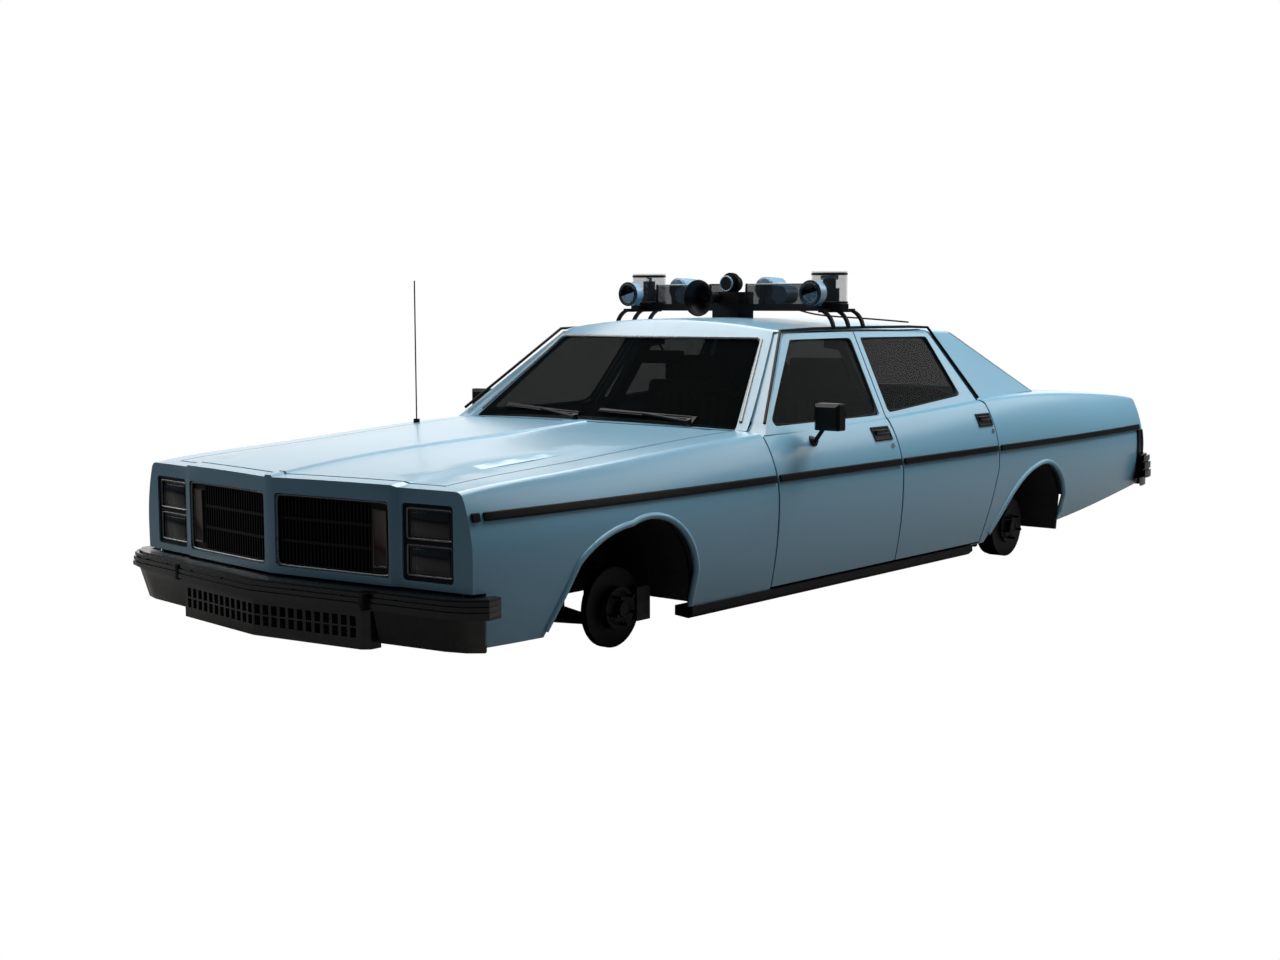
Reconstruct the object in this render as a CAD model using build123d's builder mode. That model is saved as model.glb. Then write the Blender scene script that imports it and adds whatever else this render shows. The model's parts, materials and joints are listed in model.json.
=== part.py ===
"""Patrol sedan of the middle 1970s with its road wheels off, standing on its brakes.

Millimetres. The nose points along -Y, +X is the left side, +Z is up.
Z is zero under the brake discs, X and Y are zero in the middle of the car.
"""
import os
from collections import namedtuple
from math import asin, cos, sin

from build123d import *

os.makedirs("parts", exist_ok=True)

# Overall layout
AXLE_FRONT_Y = -1695
AXLE_REAR_Y = 1290
DISC_R = 150
HUB_Z = DISC_R
HUB_FACE_X = 800
DISC_X = 738
DISC_T = 28
KINGPIN_X = 655
KINGPIN_R = 10

# Body shell
SKIN_T = 18
DOOR_T = 70
FRAME_T = 28
CROWN_R = 34
GAP = 8
HOOD_HALF = 735
HOOD_GAP = 10
COWL_GAP = 26
LID_GAP = 17
SEAM = 0.3
LID_HALF = 700
LID_FRONT_Y = 1735
TAIL_Y = 2640
TAIL_T = 40
NOSE_T = 55
ROOF_TOP = 1200
ROOF_RX = 4000
ROOF_RY = 20000
ROOF_EDGE_R = 42
FLOOR_Z = 92
FLOOR_T = 20
SILL_TOP = 130

# Door hinges
HINGE_X = 937
HINGE_BACK = 70
HINGE_HEIGHTS = (360, 550)
HINGE_ARM = 7
HINGE_TIP = 5
POST_X = 805
HINGE_PIN_R = 6
HINGE_PIN_GAP = 0.06
HOOD_PIN_R = 4

# Wheel studs
STUD_PCD = 114.3
STUD_COUNT = 5
LEFT_STUD_R = 6.35
RIGHT_STUD_R = 6.0
STUD_LENGTH = 38

# Light bar
BAR_Y = 75
BAR_HALF = 610
BAR_Z = 1230
BAR_H = 32

Station = namedtuple("Station", "y sill_x sill_z wide_x wide_z crown_x crown_z mid_z")
STATIONS = (
    Station(-2700, 852, 140, 880, 420, 848, 634, 648),
    Station(-2300, 905, 136, 930, 440, 866, 682, 694),
    Station(-1720, 914, 132, 955, 460, 870, 712, 730),
    Station(-900, 916, 131, 957, 490, 868, 752, 778),
    Station(0, 916, 131, 957, 500, 868, 768, 800),
    Station(860, 916, 131, 957, 510, 866, 801, 826),
    Station(1700, 905, 168, 948, 500, 852, 802, 822),
    Station(2300, 888, 228, 922, 480, 838, 768, 788),
    Station(2680, 862, 266, 892, 465, 824, 728, 748),
)

# Raised middle of the hood and its spine, with the height above the body's own top
Rise = namedtuple("Rise", "y foot_x top_x rise")
HOOD_RISE = (
    Rise(-2700, 604, 566, 14),
    Rise(-2300, 608, 570, 12),
    Rise(-1720, 616, 584, 7),
    Rise(-900, 640, 610, -8),
)
HOOD_SPINE = (
    Rise(-2700, 32, 14, 22),
    Rise(-2300, 44, 24, 21),
    Rise(-1720, 58, 36, 18),
    Rise(-900, 84, 58, 9),
)

# Corners of the glasshouse at the belt (760 up) and at the roof rail (1120 up)
Corner = namedtuple("Corner", "x low_y top_x top_y")
BELT_Z = 760
RAIL_Z = 1120
PILLAR_A_FRONT = Corner(763, -899, 577, -490)
PILLAR_A_REAR = Corner(868, -880, 645, -450)
PILLAR_C_FRONT = Corner(868, 870, 645, 740)
PILLAR_C_REAR = Corner(775, 1690, 600, 1010)
SCREEN_MID = Corner(0, -1000, 0, -560)
BACKLIGHT_MID = Corner(0, 1790, 0, 1070)

# Side-view outlines as (y, z)
OPENING = (
    (-913, 132), (-913, 745), (-876, 776), (-444, 1146),
    (752, 1140), (876, 808), (893, 788), (893, 478), (776, 132),
)
FRONT_DOOR = ((-905, 140), (-905, 740), (-868, 768), (-438, 1138), (104, 1138), (20, 772), (20, 140))
REAR_DOOR = (
    (28, 140), (28, 772), (112, 1138), (742, 1132),
    (862, 806), (885, 782), (885, 480), (770, 140),
)
FRONT_WINDOW = ((-838, 774), (-408, 1112), (62, 1112), (-14, 778))
REAR_WINDOW = ((62, 784), (138, 1112), (706, 1106), (742, 830))
DoorSpec = namedtuple("DoorSpec", "name outline window front_y rear_low rear_top slant")
DOORS = (
    DoorSpec("front", FRONT_DOOR, FRONT_WINDOW, -905, (20, 772), (104, 1138), 0.34),
    DoorSpec("rear", REAR_DOOR, REAR_WINDOW, 28, (862, 806), (742, 1132), 0.5),
)


def bow(top, side):
    """Middle of the arc that leaves one point upright and ends at the other."""
    dx = top[0] - side[0]
    dz = side[1] - top[1]
    radius = (dx * dx + dz * dz) / (2 * dx)
    half = asin(dz / radius) / 2
    return (top[0] - radius + radius * cos(half), top[1] + radius * sin(half))


def arch_middle(crown, mid_z):
    """Middle of the arc that rises from the crown to a level top at the centre line."""
    rise = mid_z - crown[1]
    radius = (crown[0] ** 2 + rise * rise) / (2 * rise)
    half = asin(crown[0] / radius) / 2
    return (radius * sin(half), mid_z - radius + radius * cos(half))


def at_station(y):
    """Body section values at any length along the car, between its neighbours."""
    for low, high in zip(STATIONS, STATIONS[1:]):
        if low.y <= y <= high.y:
            part = (y - low.y) / (high.y - low.y)
            return Station(*[a + (b - a) * part for a, b in zip(low, high)])
    return STATIONS[0] if y < STATIONS[0].y else STATIONS[-1]


def skin_x(y, z):
    """Half-width of the outer skin at a height."""
    st = at_station(y)
    far = (st.crown_x, st.crown_z) if z > st.wide_z else (st.sill_x, st.sill_z)
    dx = st.wide_x - far[0]
    dz = far[1] - st.wide_z
    radius = (dx * dx + dz * dz) / (2 * dx)
    return st.wide_x - radius + (radius * radius - (z - st.wide_z) ** 2) ** 0.5


def lower_body(inset, below=0, beyond=0):
    """Solid of the lower body, drawn inside the outer skin by the inset."""
    last = len(STATIONS) - 1
    with BuildPart() as body:
        for index, st in enumerate(STATIONS):
            shift = -beyond if index == 0 else beyond if index == last else 0
            sill = (st.sill_x - inset, st.sill_z - below)
            wide = (st.wide_x - inset, st.wide_z)
            crown = (st.crown_x - inset, st.crown_z - inset)
            mid_z = st.mid_z - inset
            with BuildSketch(Plane.XZ.offset(-(st.y + shift))):
                with BuildLine():
                    Line((0, sill[1]), sill)
                    ThreePointArc(sill, bow(wide, sill), wide)
                    ThreePointArc(wide, bow(wide, crown), crown)
                    ThreePointArc(crown, arch_middle(crown, mid_z), (0, mid_z))
                    mirror(about=Plane.YZ)
                make_face()
                corners = [v for v in vertices() if abs(abs(v.X) - crown[0]) < 0.01 and v.Y > wide[1]]
                fillet(corners, max(CROWN_R - inset, 10))
        loft()
    return body.part


def crown_z(st, x):
    """Height of the body's top at a distance from the centre line."""
    rise = st.mid_z - st.crown_z
    radius = (st.crown_x**2 + rise * rise) / (2 * rise)
    return st.mid_z - radius + (radius * radius - x * x) ** 0.5


def raised_top(rows):
    """Long tapered pad that stands above the body's top, with sloping sides."""
    with BuildPart() as pad:
        for row in rows:
            st = at_station(row.y)
            foot = (row.foot_x, crown_z(st, row.foot_x) - 2)
            edge = (row.top_x, crown_z(st, row.top_x) + row.rise)
            middle = (row.top_x / 2, crown_z(st, row.top_x / 2) + row.rise)
            root_z = foot[1] - 40
            with BuildSketch(Plane.XZ.offset(-row.y)):
                with BuildLine():
                    Polyline((0, root_z), (row.foot_x, root_z), foot, edge)
                    ThreePointArc(edge, middle, (0, st.mid_z + row.rise))
                    mirror(about=Plane.YZ)
                make_face()
        loft()
    return pad.part


def glass_corner(corner, z, inset_x, inset_y):
    """Plan point of a glasshouse corner at a height."""
    part = (z - BELT_Z) / (RAIL_Z - BELT_Z)
    x = corner.x + (corner.top_x - corner.x) * part
    y = corner.low_y + (corner.top_y - corner.low_y) * part
    return (x - inset_x, y + inset_y)


def glasshouse(inset):
    """Solid of roof, pillars and glass, drawn inside their outer face by the inset."""
    with BuildPart() as house:
        for z in (735, 1235):
            a_front = glass_corner(PILLAR_A_FRONT, z, inset, inset)
            a_rear = glass_corner(PILLAR_A_REAR, z, inset, inset)
            c_front = glass_corner(PILLAR_C_FRONT, z, inset, -inset)
            c_rear = glass_corner(PILLAR_C_REAR, z, inset, -inset)
            screen = glass_corner(SCREEN_MID, z, 0, inset)
            backlight = glass_corner(BACKLIGHT_MID, z, 0, -inset)
            with BuildSketch(Plane.XY.offset(z)):
                with BuildLine():
                    ThreePointArc((-a_front[0], a_front[1]), screen, a_front)
                    Polyline(a_front, a_rear, c_front, c_rear)
                    ThreePointArc(c_rear, backlight, (-c_rear[0], c_rear[1]))
                    Polyline(
                        (-c_rear[0], c_rear[1]), (-c_front[0], c_front[1]),
                        (-a_rear[0], a_rear[1]), (-a_front[0], a_front[1]),
                    )
                make_face()
        loft(ruled=True)
        add(roof_crown(ROOF_TOP - inset), mode=Mode.INTERSECT)
        eaves = [e for e in edges() if e.center().Z > RAIL_Z - 30 and e.bounding_box().size.Z < 120]
        rounding = ROOF_EDGE_R - inset
        if rounding > 2:
            fillet(eaves, rounding)
    return house.part


def roof_crown(top):
    """Solid under the doubly curved top of the roof."""
    half = 960
    drop = ROOF_RX - (ROOF_RX**2 - half**2) ** 0.5
    with BuildPart() as crown:
        with BuildSketch(Plane.XZ.offset(100)):
            with BuildLine():
                Polyline((-half, top - drop), (-half, 600), (half, 600), (half, top - drop))
                ThreePointArc((half, top - drop), (0, top), (-half, top - drop))
            make_face()
        revolve(axis=Axis((0, -100, top - ROOF_RY), (1, 0, 0)), revolution_arc=6)
        revolve_back = crown.part.mirror(Plane.XZ.offset(100))
        add(revolve_back)
    return crown.part


def side_prism(points, x_from=0, x_to=1200, radius=0):
    """Side-view outline pushed through the left half of the car."""
    with BuildPart() as prism:
        with BuildSketch(Plane.YZ.offset(x_from)):
            with BuildLine():
                Polyline(*points, close=True)
            make_face()
            if radius:
                fillet(vertices(), radius)
        extrude(amount=x_to - x_from)
    return prism.part


def front_prism(points, y_from, y_to, radius=0):
    """Front-view outline as (x, z) pushed along the car."""
    with BuildPart() as prism:
        with BuildSketch(Plane.XZ.offset(-y_from)):
            with BuildLine():
                Polyline(*points, close=True)
            make_face()
            if radius:
                fillet(vertices(), radius)
        extrude(amount=-(y_to - y_from))
    return prism.part


def plan_prism(points, z_from, z_to):
    """Plan-view outline as (x, y) pushed upwards."""
    with BuildPart() as prism:
        with BuildSketch(Plane.XY.offset(z_from)):
            with BuildLine():
                Polyline(*points, close=True)
            make_face()
        extrude(amount=z_to - z_from)
    return prism.part


def block(x_from, x_to, y_from, y_to, z_from, z_to):
    """Box between two corners."""
    with BuildPart() as box:
        with Locations(((x_from + x_to) / 2, (y_from + y_to) / 2, (z_from + z_to) / 2)):
            Box(abs(x_to - x_from), abs(y_to - y_from), abs(z_to - z_from))
    return box.part


def rod(start, end, radius):
    """Round bar between two points."""
    axis = Vector(*end) - Vector(*start)
    with BuildPart() as bar:
        with BuildSketch(Plane(origin=start, z_dir=axis)):
            Circle(radius)
        extrude(amount=axis.length)
    return bar.part


def both_sides(part):
    """The piece and its mirror image."""
    with BuildPart() as pair:
        add(part)
        add(part.mirror(Plane.YZ))
    return pair.part


def export(name, shape):
    """Write one node."""
    shape.label = name
    export_step(shape, f"parts/{name}.step")


def hinge_arms(axis_y):
    """Two arms that carry the pins of a left door."""
    with BuildPart() as arms:
        for z in HINGE_HEIGHTS:
            span = (axis_y - HINGE_ARM, axis_y + HINGE_ARM)
            add(block(POST_X - 5, HINGE_X + HINGE_TIP, *span, z - 9, z + 9))
            add(rod((HINGE_X, axis_y, z - 30), (HINGE_X, axis_y, z + 30), HINGE_PIN_R))
    return arms.part


def front_arch(grow=0):
    """Front wheel opening in side view."""
    with BuildPart() as arch:
        with BuildSketch(Plane.YZ):
            with BuildLine():
                Polyline((-1436, 40), (-2286, 40), (-2072, 375))
                ThreePointArc((-2072, 375), (-1955, 447), (-1800, 482))
                ThreePointArc((-1800, 482), (-1520, 433), (-1425, 270))
                Line((-1425, 270), (-1436, 40))
            make_face()
            if grow:
                offset(amount=grow, kind=Kind.INTERSECTION)
        extrude(amount=1200)
    return arch.part


def rear_arch(grow=0):
    """Rear wheel opening in side view."""
    with BuildPart() as arch:
        with BuildSketch(Plane.YZ):
            with BuildLine():
                Polyline((1580, 40), (724, 40), (1013, 318))
                ThreePointArc((1013, 318), (1145, 412), (1310, 466))
                ThreePointArc((1310, 466), (1525, 415), (1612, 290))
                Line((1612, 290), (1580, 40))
            make_face()
            if grow:
                offset(amount=grow, kind=Kind.INTERSECTION)
        extrude(amount=1200)
    return arch.part


# Master shapes
body_outer = lower_body(0)
body_thin = lower_body(SKIN_T, below=60, beyond=30)
body_thick = lower_body(DOOR_T, below=60, beyond=30)
house_outer = glasshouse(0)
house_inner = glasshouse(FRAME_T)
arch_f = front_arch()
arch_r = rear_arch()
opening = side_prism(OPENING)

NOSE_PLAN = ((0, -2672), (565, -2604), (590, -2590), (960, -2545))
nose_edge = [(-x, y) for x, y in reversed(NOSE_PLAN[1:])] + list(NOSE_PLAN)
nose_back = [(x, y + NOSE_T) for x, y in reversed(nose_edge)]
HOOD_REAR_Y = -938
HOOD_REAR_MID_Y = -1046

with BuildPart() as behind_nose:
    with BuildSketch():
        with BuildLine():
            Polyline(*nose_back, (-960, 2700), (960, 2700), close=True)
        make_face()
    extrude(amount=1300)

with BuildPart() as hood_field:
    with BuildSketch():
        with BuildLine():
            Polyline(
                (HOOD_HALF, HOOD_REAR_Y), (HOOD_HALF, -2800),
                (-HOOD_HALF, -2800), (-HOOD_HALF, HOOD_REAR_Y),
            )
            ThreePointArc((-HOOD_HALF, HOOD_REAR_Y), (0, HOOD_REAR_MID_Y), (HOOD_HALF, HOOD_REAR_Y))
        make_face()
    extrude(amount=1300)

with BuildPart() as hood_hole:
    with BuildSketch():
        with BuildLine():
            Polyline(
                (HOOD_HALF + GAP, HOOD_REAR_Y + COWL_GAP), (HOOD_HALF + GAP, -2800),
                (-HOOD_HALF - GAP, -2800), (-HOOD_HALF - GAP, HOOD_REAR_Y + COWL_GAP),
            )
            ThreePointArc(
                (-HOOD_HALF - GAP, HOOD_REAR_Y + COWL_GAP), (0, HOOD_REAR_MID_Y + COWL_GAP),
                (HOOD_HALF + GAP, HOOD_REAR_Y + COWL_GAP),
            )
        make_face()
    extrude(amount=1300)

with BuildPart() as thin_shell:
    add(body_outer)
    add(body_thin, mode=Mode.SUBTRACT)

with BuildPart() as house_shell:
    add(house_outer)
    add(house_inner, mode=Mode.SUBTRACT)

with BuildPart() as hood_pad:
    add(raised_top(HOOD_RISE))
    add(raised_top(HOOD_SPINE))

with BuildPart() as hood_shell:
    add(thin_shell.part)
    with BuildPart(mode=Mode.PRIVATE) as pad_skin:
        add(hood_pad.part)
        add(body_thin, mode=Mode.SUBTRACT)
    add(pad_skin.part)

# Front fenders
with BuildPart() as fender:
    add(thin_shell.part)
    add(block(600, 1000, -2800, -913, 0, 900), mode=Mode.INTERSECT)
    add(behind_nose.part, mode=Mode.INTERSECT)
    add(hood_hole.part, mode=Mode.SUBTRACT)
    add(arch_f, mode=Mode.SUBTRACT)
    add(block(0, HOOD_HALF + GAP, -1060, -800, 0, 900), mode=Mode.SUBTRACT)
export("front_fenders", both_sides(fender.part))

# Nose panel with its grille and lamp openings
GRILLE_X = (30, 556)
GRILLE_Z = (352, 612)
LAMP_X = (604, 822)
LAMP_Z = (350, 612)
with BuildPart() as nose_panel:
    add(body_outer)
    add(hood_pad.part)
    add(plan_prism(nose_edge + nose_back, 325, 800), mode=Mode.INTERSECT)
    for side in (-1, 1):
        for span, heights in ((GRILLE_X, GRILLE_Z), (LAMP_X, LAMP_Z)):
            xs = sorted((side * span[0], side * span[1]))
            hole = (
                (xs[0], heights[0]), (xs[1], heights[0]),
                (xs[1], heights[1]), (xs[0], heights[1]),
            )
            add(front_prism(hole, -2800, -2450, 14), mode=Mode.SUBTRACT)
export("nose_panel", nose_panel.part)

# Hood with a raised middle
with BuildPart() as hood_skin:
    add(hood_shell.part)
    add(hood_field.part, mode=Mode.INTERSECT)
    behind_gap = [(x, y + HOOD_GAP) for x, y in nose_back] + [(-960, 0), (960, 0)]
    add(plan_prism(behind_gap, 0, 1300), mode=Mode.INTERSECT)
    add(block(-900, 900, -2800, 0, 560, 1000), mode=Mode.INTERSECT)
HOOD_AXIS_Y = HOOD_REAR_Y - 28
HOOD_AXIS_Z = 748
with BuildPart() as hood:
    add(hood_skin.part)
    for side in (-1, 1):
        lug_z = (HOOD_AXIS_Z - 9, HOOD_AXIS_Z + 3)
        add(block(side * 660, side * 710, HOOD_AXIS_Y - 60, HOOD_AXIS_Y + 8, *lug_z))
        add(block(side * 608, side * 660, HOOD_AXIS_Y - 16, -900, 600, 900), mode=Mode.SUBTRACT)
        pin_from = (side * 650, HOOD_AXIS_Y, HOOD_AXIS_Z)
        pin_to = (side * 705, HOOD_AXIS_Y, HOOD_AXIS_Z)
        add(rod(pin_from, pin_to, HOOD_PIN_R + HINGE_PIN_GAP), mode=Mode.SUBTRACT)
export("hood", hood.part)

# Cowl panel under the windshield
with BuildPart() as cowl:
    add(thin_shell.part)
    add(block(-HOOD_HALF - GAP, HOOD_HALF + GAP, -1060, -850, 500, 1000), mode=Mode.INTERSECT)
    add(hood_hole.part, mode=Mode.SUBTRACT)
    for side in (-1, 1):
        add(block(side * 617, side * 652, HOOD_AXIS_Y - 9, -900, 715, HOOD_AXIS_Z + 6))
        add(rod((side * 630, HOOD_AXIS_Y, HOOD_AXIS_Z), (side * 700, HOOD_AXIS_Y, HOOD_AXIS_Z), HOOD_PIN_R))
export("cowl_panel", cowl.part)

# Roof with its pillars
SCREEN = ((-752, 730), (-563, 1114), (563, 1114), (752, 730))
BACKLIGHT = ((-716, 730), (-546, 1112), (546, 1112), (716, 730))
screen_hole = front_prism(SCREEN, -1100, -250, 30)
backlight_hole = front_prism(BACKLIGHT, 950, 1900, 30)
POST_B = ((50, 762), (132, 762), (172, 1170), (78, 1170))
with BuildPart() as roof:
    add(house_shell.part)
    add(screen_hole, mode=Mode.SUBTRACT)
    add(backlight_hole, mode=Mode.SUBTRACT)
    add(both_sides(opening), mode=Mode.SUBTRACT)
    add(body_outer, mode=Mode.SUBTRACT)
with BuildPart() as post_b:
    add(glasshouse(FRAME_T + 34))
    add(glasshouse(FRAME_T + 74), mode=Mode.SUBTRACT)
    add(side_prism(POST_B, 500, 1000), mode=Mode.INTERSECT)
    add(block(POST_X - 40, POST_X, 50, 132, FLOOR_Z + FLOOR_T, 770))
    with BuildPart(mode=Mode.PRIVATE) as cap_b:
        add(glasshouse(FRAME_T - 8))
        add(glasshouse(FRAME_T + 74), mode=Mode.SUBTRACT)
        add(side_prism(((80, 1147), (170, 1147), (170, 1200), (80, 1200)), 500, 1000), mode=Mode.INTERSECT)
    add(cap_b.part)
    add(hinge_arms(28 + HINGE_BACK))
with BuildPart() as roof_frame:
    add(roof.part)
    add(both_sides(post_b.part))
export("roof_frame", roof_frame.part)

# Quarter panels and the deck strip under the rear window
LID_AXIS_Y = LID_FRONT_Y + 14
LID_AXIS_Z = 799
with BuildPart() as quarter:
    add(thin_shell.part)
    add(block(-1000, 1000, 930, TAIL_Y - TAIL_T, 0, 900), mode=Mode.INTERSECT)
    add(block(-780, 780, 500, 1560, 0, 1000), mode=Mode.SUBTRACT)
    add(both_sides(arch_r), mode=Mode.SUBTRACT)
    add(block(-LID_HALF - GAP, LID_HALF + GAP, LID_FRONT_Y - LID_GAP, 2700, 0, 1000), mode=Mode.SUBTRACT)
    for side in (-1, 1):
        add(block(side * 518, side * 552, 1690, LID_AXIS_Y + 8, 770, 790))
        add(block(side * 518, side * 552, LID_AXIS_Y - 9, LID_AXIS_Y + 8, 770, LID_AXIS_Z + 6))
        add(block(side * 518, side * 552, 1690, 1716, 770, 800))
        add(rod((side * 530, LID_AXIS_Y, LID_AXIS_Z), (side * 600, LID_AXIS_Y, LID_AXIS_Z), HOOD_PIN_R))
with BuildPart() as quarter_front:
    add(thin_shell.part)
    add(block(800, 1000, 700, 930, 0, 900), mode=Mode.INTERSECT)
    add(opening, mode=Mode.SUBTRACT)
    add(arch_r, mode=Mode.SUBTRACT)
with BuildPart() as quarter_panels:
    add(quarter.part)
    add(both_sides(quarter_front.part))
export("quarter_panels", quarter_panels.part)

# Trunk lid
with BuildPart() as trunk_lid:
    add(thin_shell.part)
    add(block(-LID_HALF, LID_HALF, LID_FRONT_Y, TAIL_Y - TAIL_T - 11, 600, 1000), mode=Mode.INTERSECT)
    for side in (-1, 1):
        add(block(side * 560, side * 610, LID_AXIS_Y - 8, LID_AXIS_Y + 60, LID_AXIS_Z - 9, LID_AXIS_Z + 3))
        add(block(side * 510, side * 560, 1700, LID_AXIS_Y + 15, 600, 900), mode=Mode.SUBTRACT)
        pin_from = (side * 550, LID_AXIS_Y, LID_AXIS_Z)
        pin_to = (side * 605, LID_AXIS_Y, LID_AXIS_Z)
        add(rod(pin_from, pin_to, HOOD_PIN_R + HINGE_PIN_GAP), mode=Mode.SUBTRACT)
export("trunk_lid", trunk_lid.part)

# Tail panel
with BuildPart() as tail_panel:
    add(body_outer)
    add(block(-1000, 1000, TAIL_Y - TAIL_T, TAIL_Y, 240, 900), mode=Mode.INTERSECT)
    for side in (-1, 1):
        xs = sorted((side * 330, side * 806))
        hole = ((xs[0], 470), (xs[1], 470), (xs[1], 640), (xs[0], 640))
        add(front_prism(hole, TAIL_Y - 18, TAIL_Y + 60, 14), mode=Mode.SUBTRACT)
export("tail_panel", tail_panel.part)

# Tail lamps
with BuildPart() as tail_lamps:
    for side in (-1, 1):
        xs = sorted((side * 330.4, side * 805.6))
        lens = ((xs[0], 470.4), (xs[1], 470.4), (xs[1], 639.6), (xs[0], 639.6))
        add(front_prism(lens, TAIL_Y - 17.6, TAIL_Y + 8, 13))
export("tail_lamps", tail_lamps.part)

# Doors, their glass and their mirrors; a seam at the belt parts the window frame from the panel
EDGE_SLANT = 0.1
EDGE_X = 930
BELT_CUT = 7
for spec in DOORS:
    axis_y = spec.front_y + HINGE_BACK
    low_x = 868 - (spec.rear_low[1] - BELT_Z) * 0.6194
    top_x = 868 - (spec.rear_top[1] - BELT_Z) * 0.6194
    low_y = spec.rear_low[0] + spec.slant * (1000 - low_x)
    top_y = spec.rear_top[0] + spec.slant * (1000 - top_x)
    lean = (top_y - low_y) / (spec.rear_top[1] - spec.rear_low[1])
    with BuildPart() as slanted:
        with BuildSketch(Plane.YZ.offset(1000)):
            with BuildLine():
                Polyline(
                    (-2000, 690), (-2000, 1300), (top_y + lean * (1300 - spec.rear_top[1]), 1300),
                    (low_y - lean * (spec.rear_low[1] - 690), 690), close=True,
                )
            make_face()
        extrude(amount=500, dir=(-1, -spec.slant, 0))
    with BuildPart() as rear_bevel:
        with BuildSketch(Plane.YZ.offset(1000)):
            with BuildLine():
                Polyline(*[(y + EDGE_SLANT * (1000 - EDGE_X), z) for y, z in spec.outline], close=True)
            make_face()
        extrude(amount=300, dir=(-1, -EDGE_SLANT, 0))
    low, high = spec.window[0], spec.window[-1]
    rise = (high[1] - low[1]) / (high[0] - low[0])
    belt_line = [(y, low[1] + BELT_CUT + rise * (y - low[0])) for y in (-1100, 1100)]
    belt_seam = belt_line + [(y, z + SEAM) for y, z in reversed(belt_line)]
    with BuildPart() as upper:
        add(house_shell.part)
        add(side_prism(spec.outline, 400), mode=Mode.INTERSECT)
        add(slanted.part, mode=Mode.INTERSECT)
        add(block(0, 1000, -1200, 1200, 0, 745), mode=Mode.SUBTRACT)
        add(block(400, 775, -1200, spec.front_y + 100, 0, 790), mode=Mode.SUBTRACT)
    with BuildPart() as door:
        add(body_outer)
        add(body_thick, mode=Mode.SUBTRACT)
        add(side_prism(spec.outline, 832), mode=Mode.INTERSECT)
        add(rear_bevel.part, mode=Mode.INTERSECT)
        add(upper.part)
        add(side_prism(spec.window, 400, 1000, 18), mode=Mode.SUBTRACT)
        add(side_prism(belt_seam, 400, 1100), mode=Mode.SUBTRACT)
        for z in HINGE_HEIGHTS:
            pocket = (axis_y - 90, axis_y + 24)
            add(block(780, HINGE_X + 10, *pocket, z - 15, z + 15), mode=Mode.SUBTRACT)
            add(
                rod((HINGE_X, axis_y, z - 31), (HINGE_X, axis_y, z + 31), HINGE_PIN_R + HINGE_PIN_GAP),
                mode=Mode.SUBTRACT,
            )
    with BuildPart() as pane:
        add(glasshouse(10))
        add(glasshouse(15), mode=Mode.SUBTRACT)
        with BuildPart(mode=Mode.PRIVATE) as pane_field:
            with BuildSketch(Plane.YZ.offset(400)):
                with BuildLine():
                    Polyline(*spec.window, close=True)
                make_face()
                fillet(vertices(), 18)
                offset(amount=-0.3)
            extrude(amount=600)
        add(pane_field.part, mode=Mode.INTERSECT)
    for label, flip in (("left", False), ("right", True)):
        leaf = door.part.mirror(Plane.YZ) if flip else door.part
        glass = pane.part.mirror(Plane.YZ) if flip else pane.part
        export(f"{spec.name}_door_{label}", leaf)
        export(f"{spec.name}_door_glass_{label}", glass)

with BuildPart() as mirror_left:
    add(block(930, 1052, -640, -585, 752, 862))
    chamfer(faces().sort_by(Axis.Y)[0].edges(), 14)
    fillet(edges().filter_by(Axis.Y), 8)
    add(rod((905, -600, 690), (966, -612, 762), 9))
    add(rod((880, -600, 708), (918, -600, 700), 20))
    add(body_outer, mode=Mode.SUBTRACT)
export("mirror_left", mirror_left.part)
export("mirror_right", mirror_left.part.mirror(Plane.YZ))

# Windshield and rear window
with BuildPart() as fixed_glass:
    for hole, keep in ((SCREEN, (-1100, -250)), (BACKLIGHT, (950, 1900))):
        with BuildPart(mode=Mode.PRIVATE) as sheet:
            add(glasshouse(7))
            add(glasshouse(13), mode=Mode.SUBTRACT)
            with BuildPart(mode=Mode.PRIVATE) as field:
                with BuildSketch(Plane.XZ.offset(-keep[0])):
                    with BuildLine():
                        Polyline(*hole, close=True)
                    make_face()
                    fillet(vertices(), 30)
                    offset(amount=-0.3)
                extrude(amount=-(keep[1] - keep[0]))
            add(field.part, mode=Mode.INTERSECT)
            add(body_outer, mode=Mode.SUBTRACT)
        add(sheet.part)
export("fixed_glass", fixed_glass.part)

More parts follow.
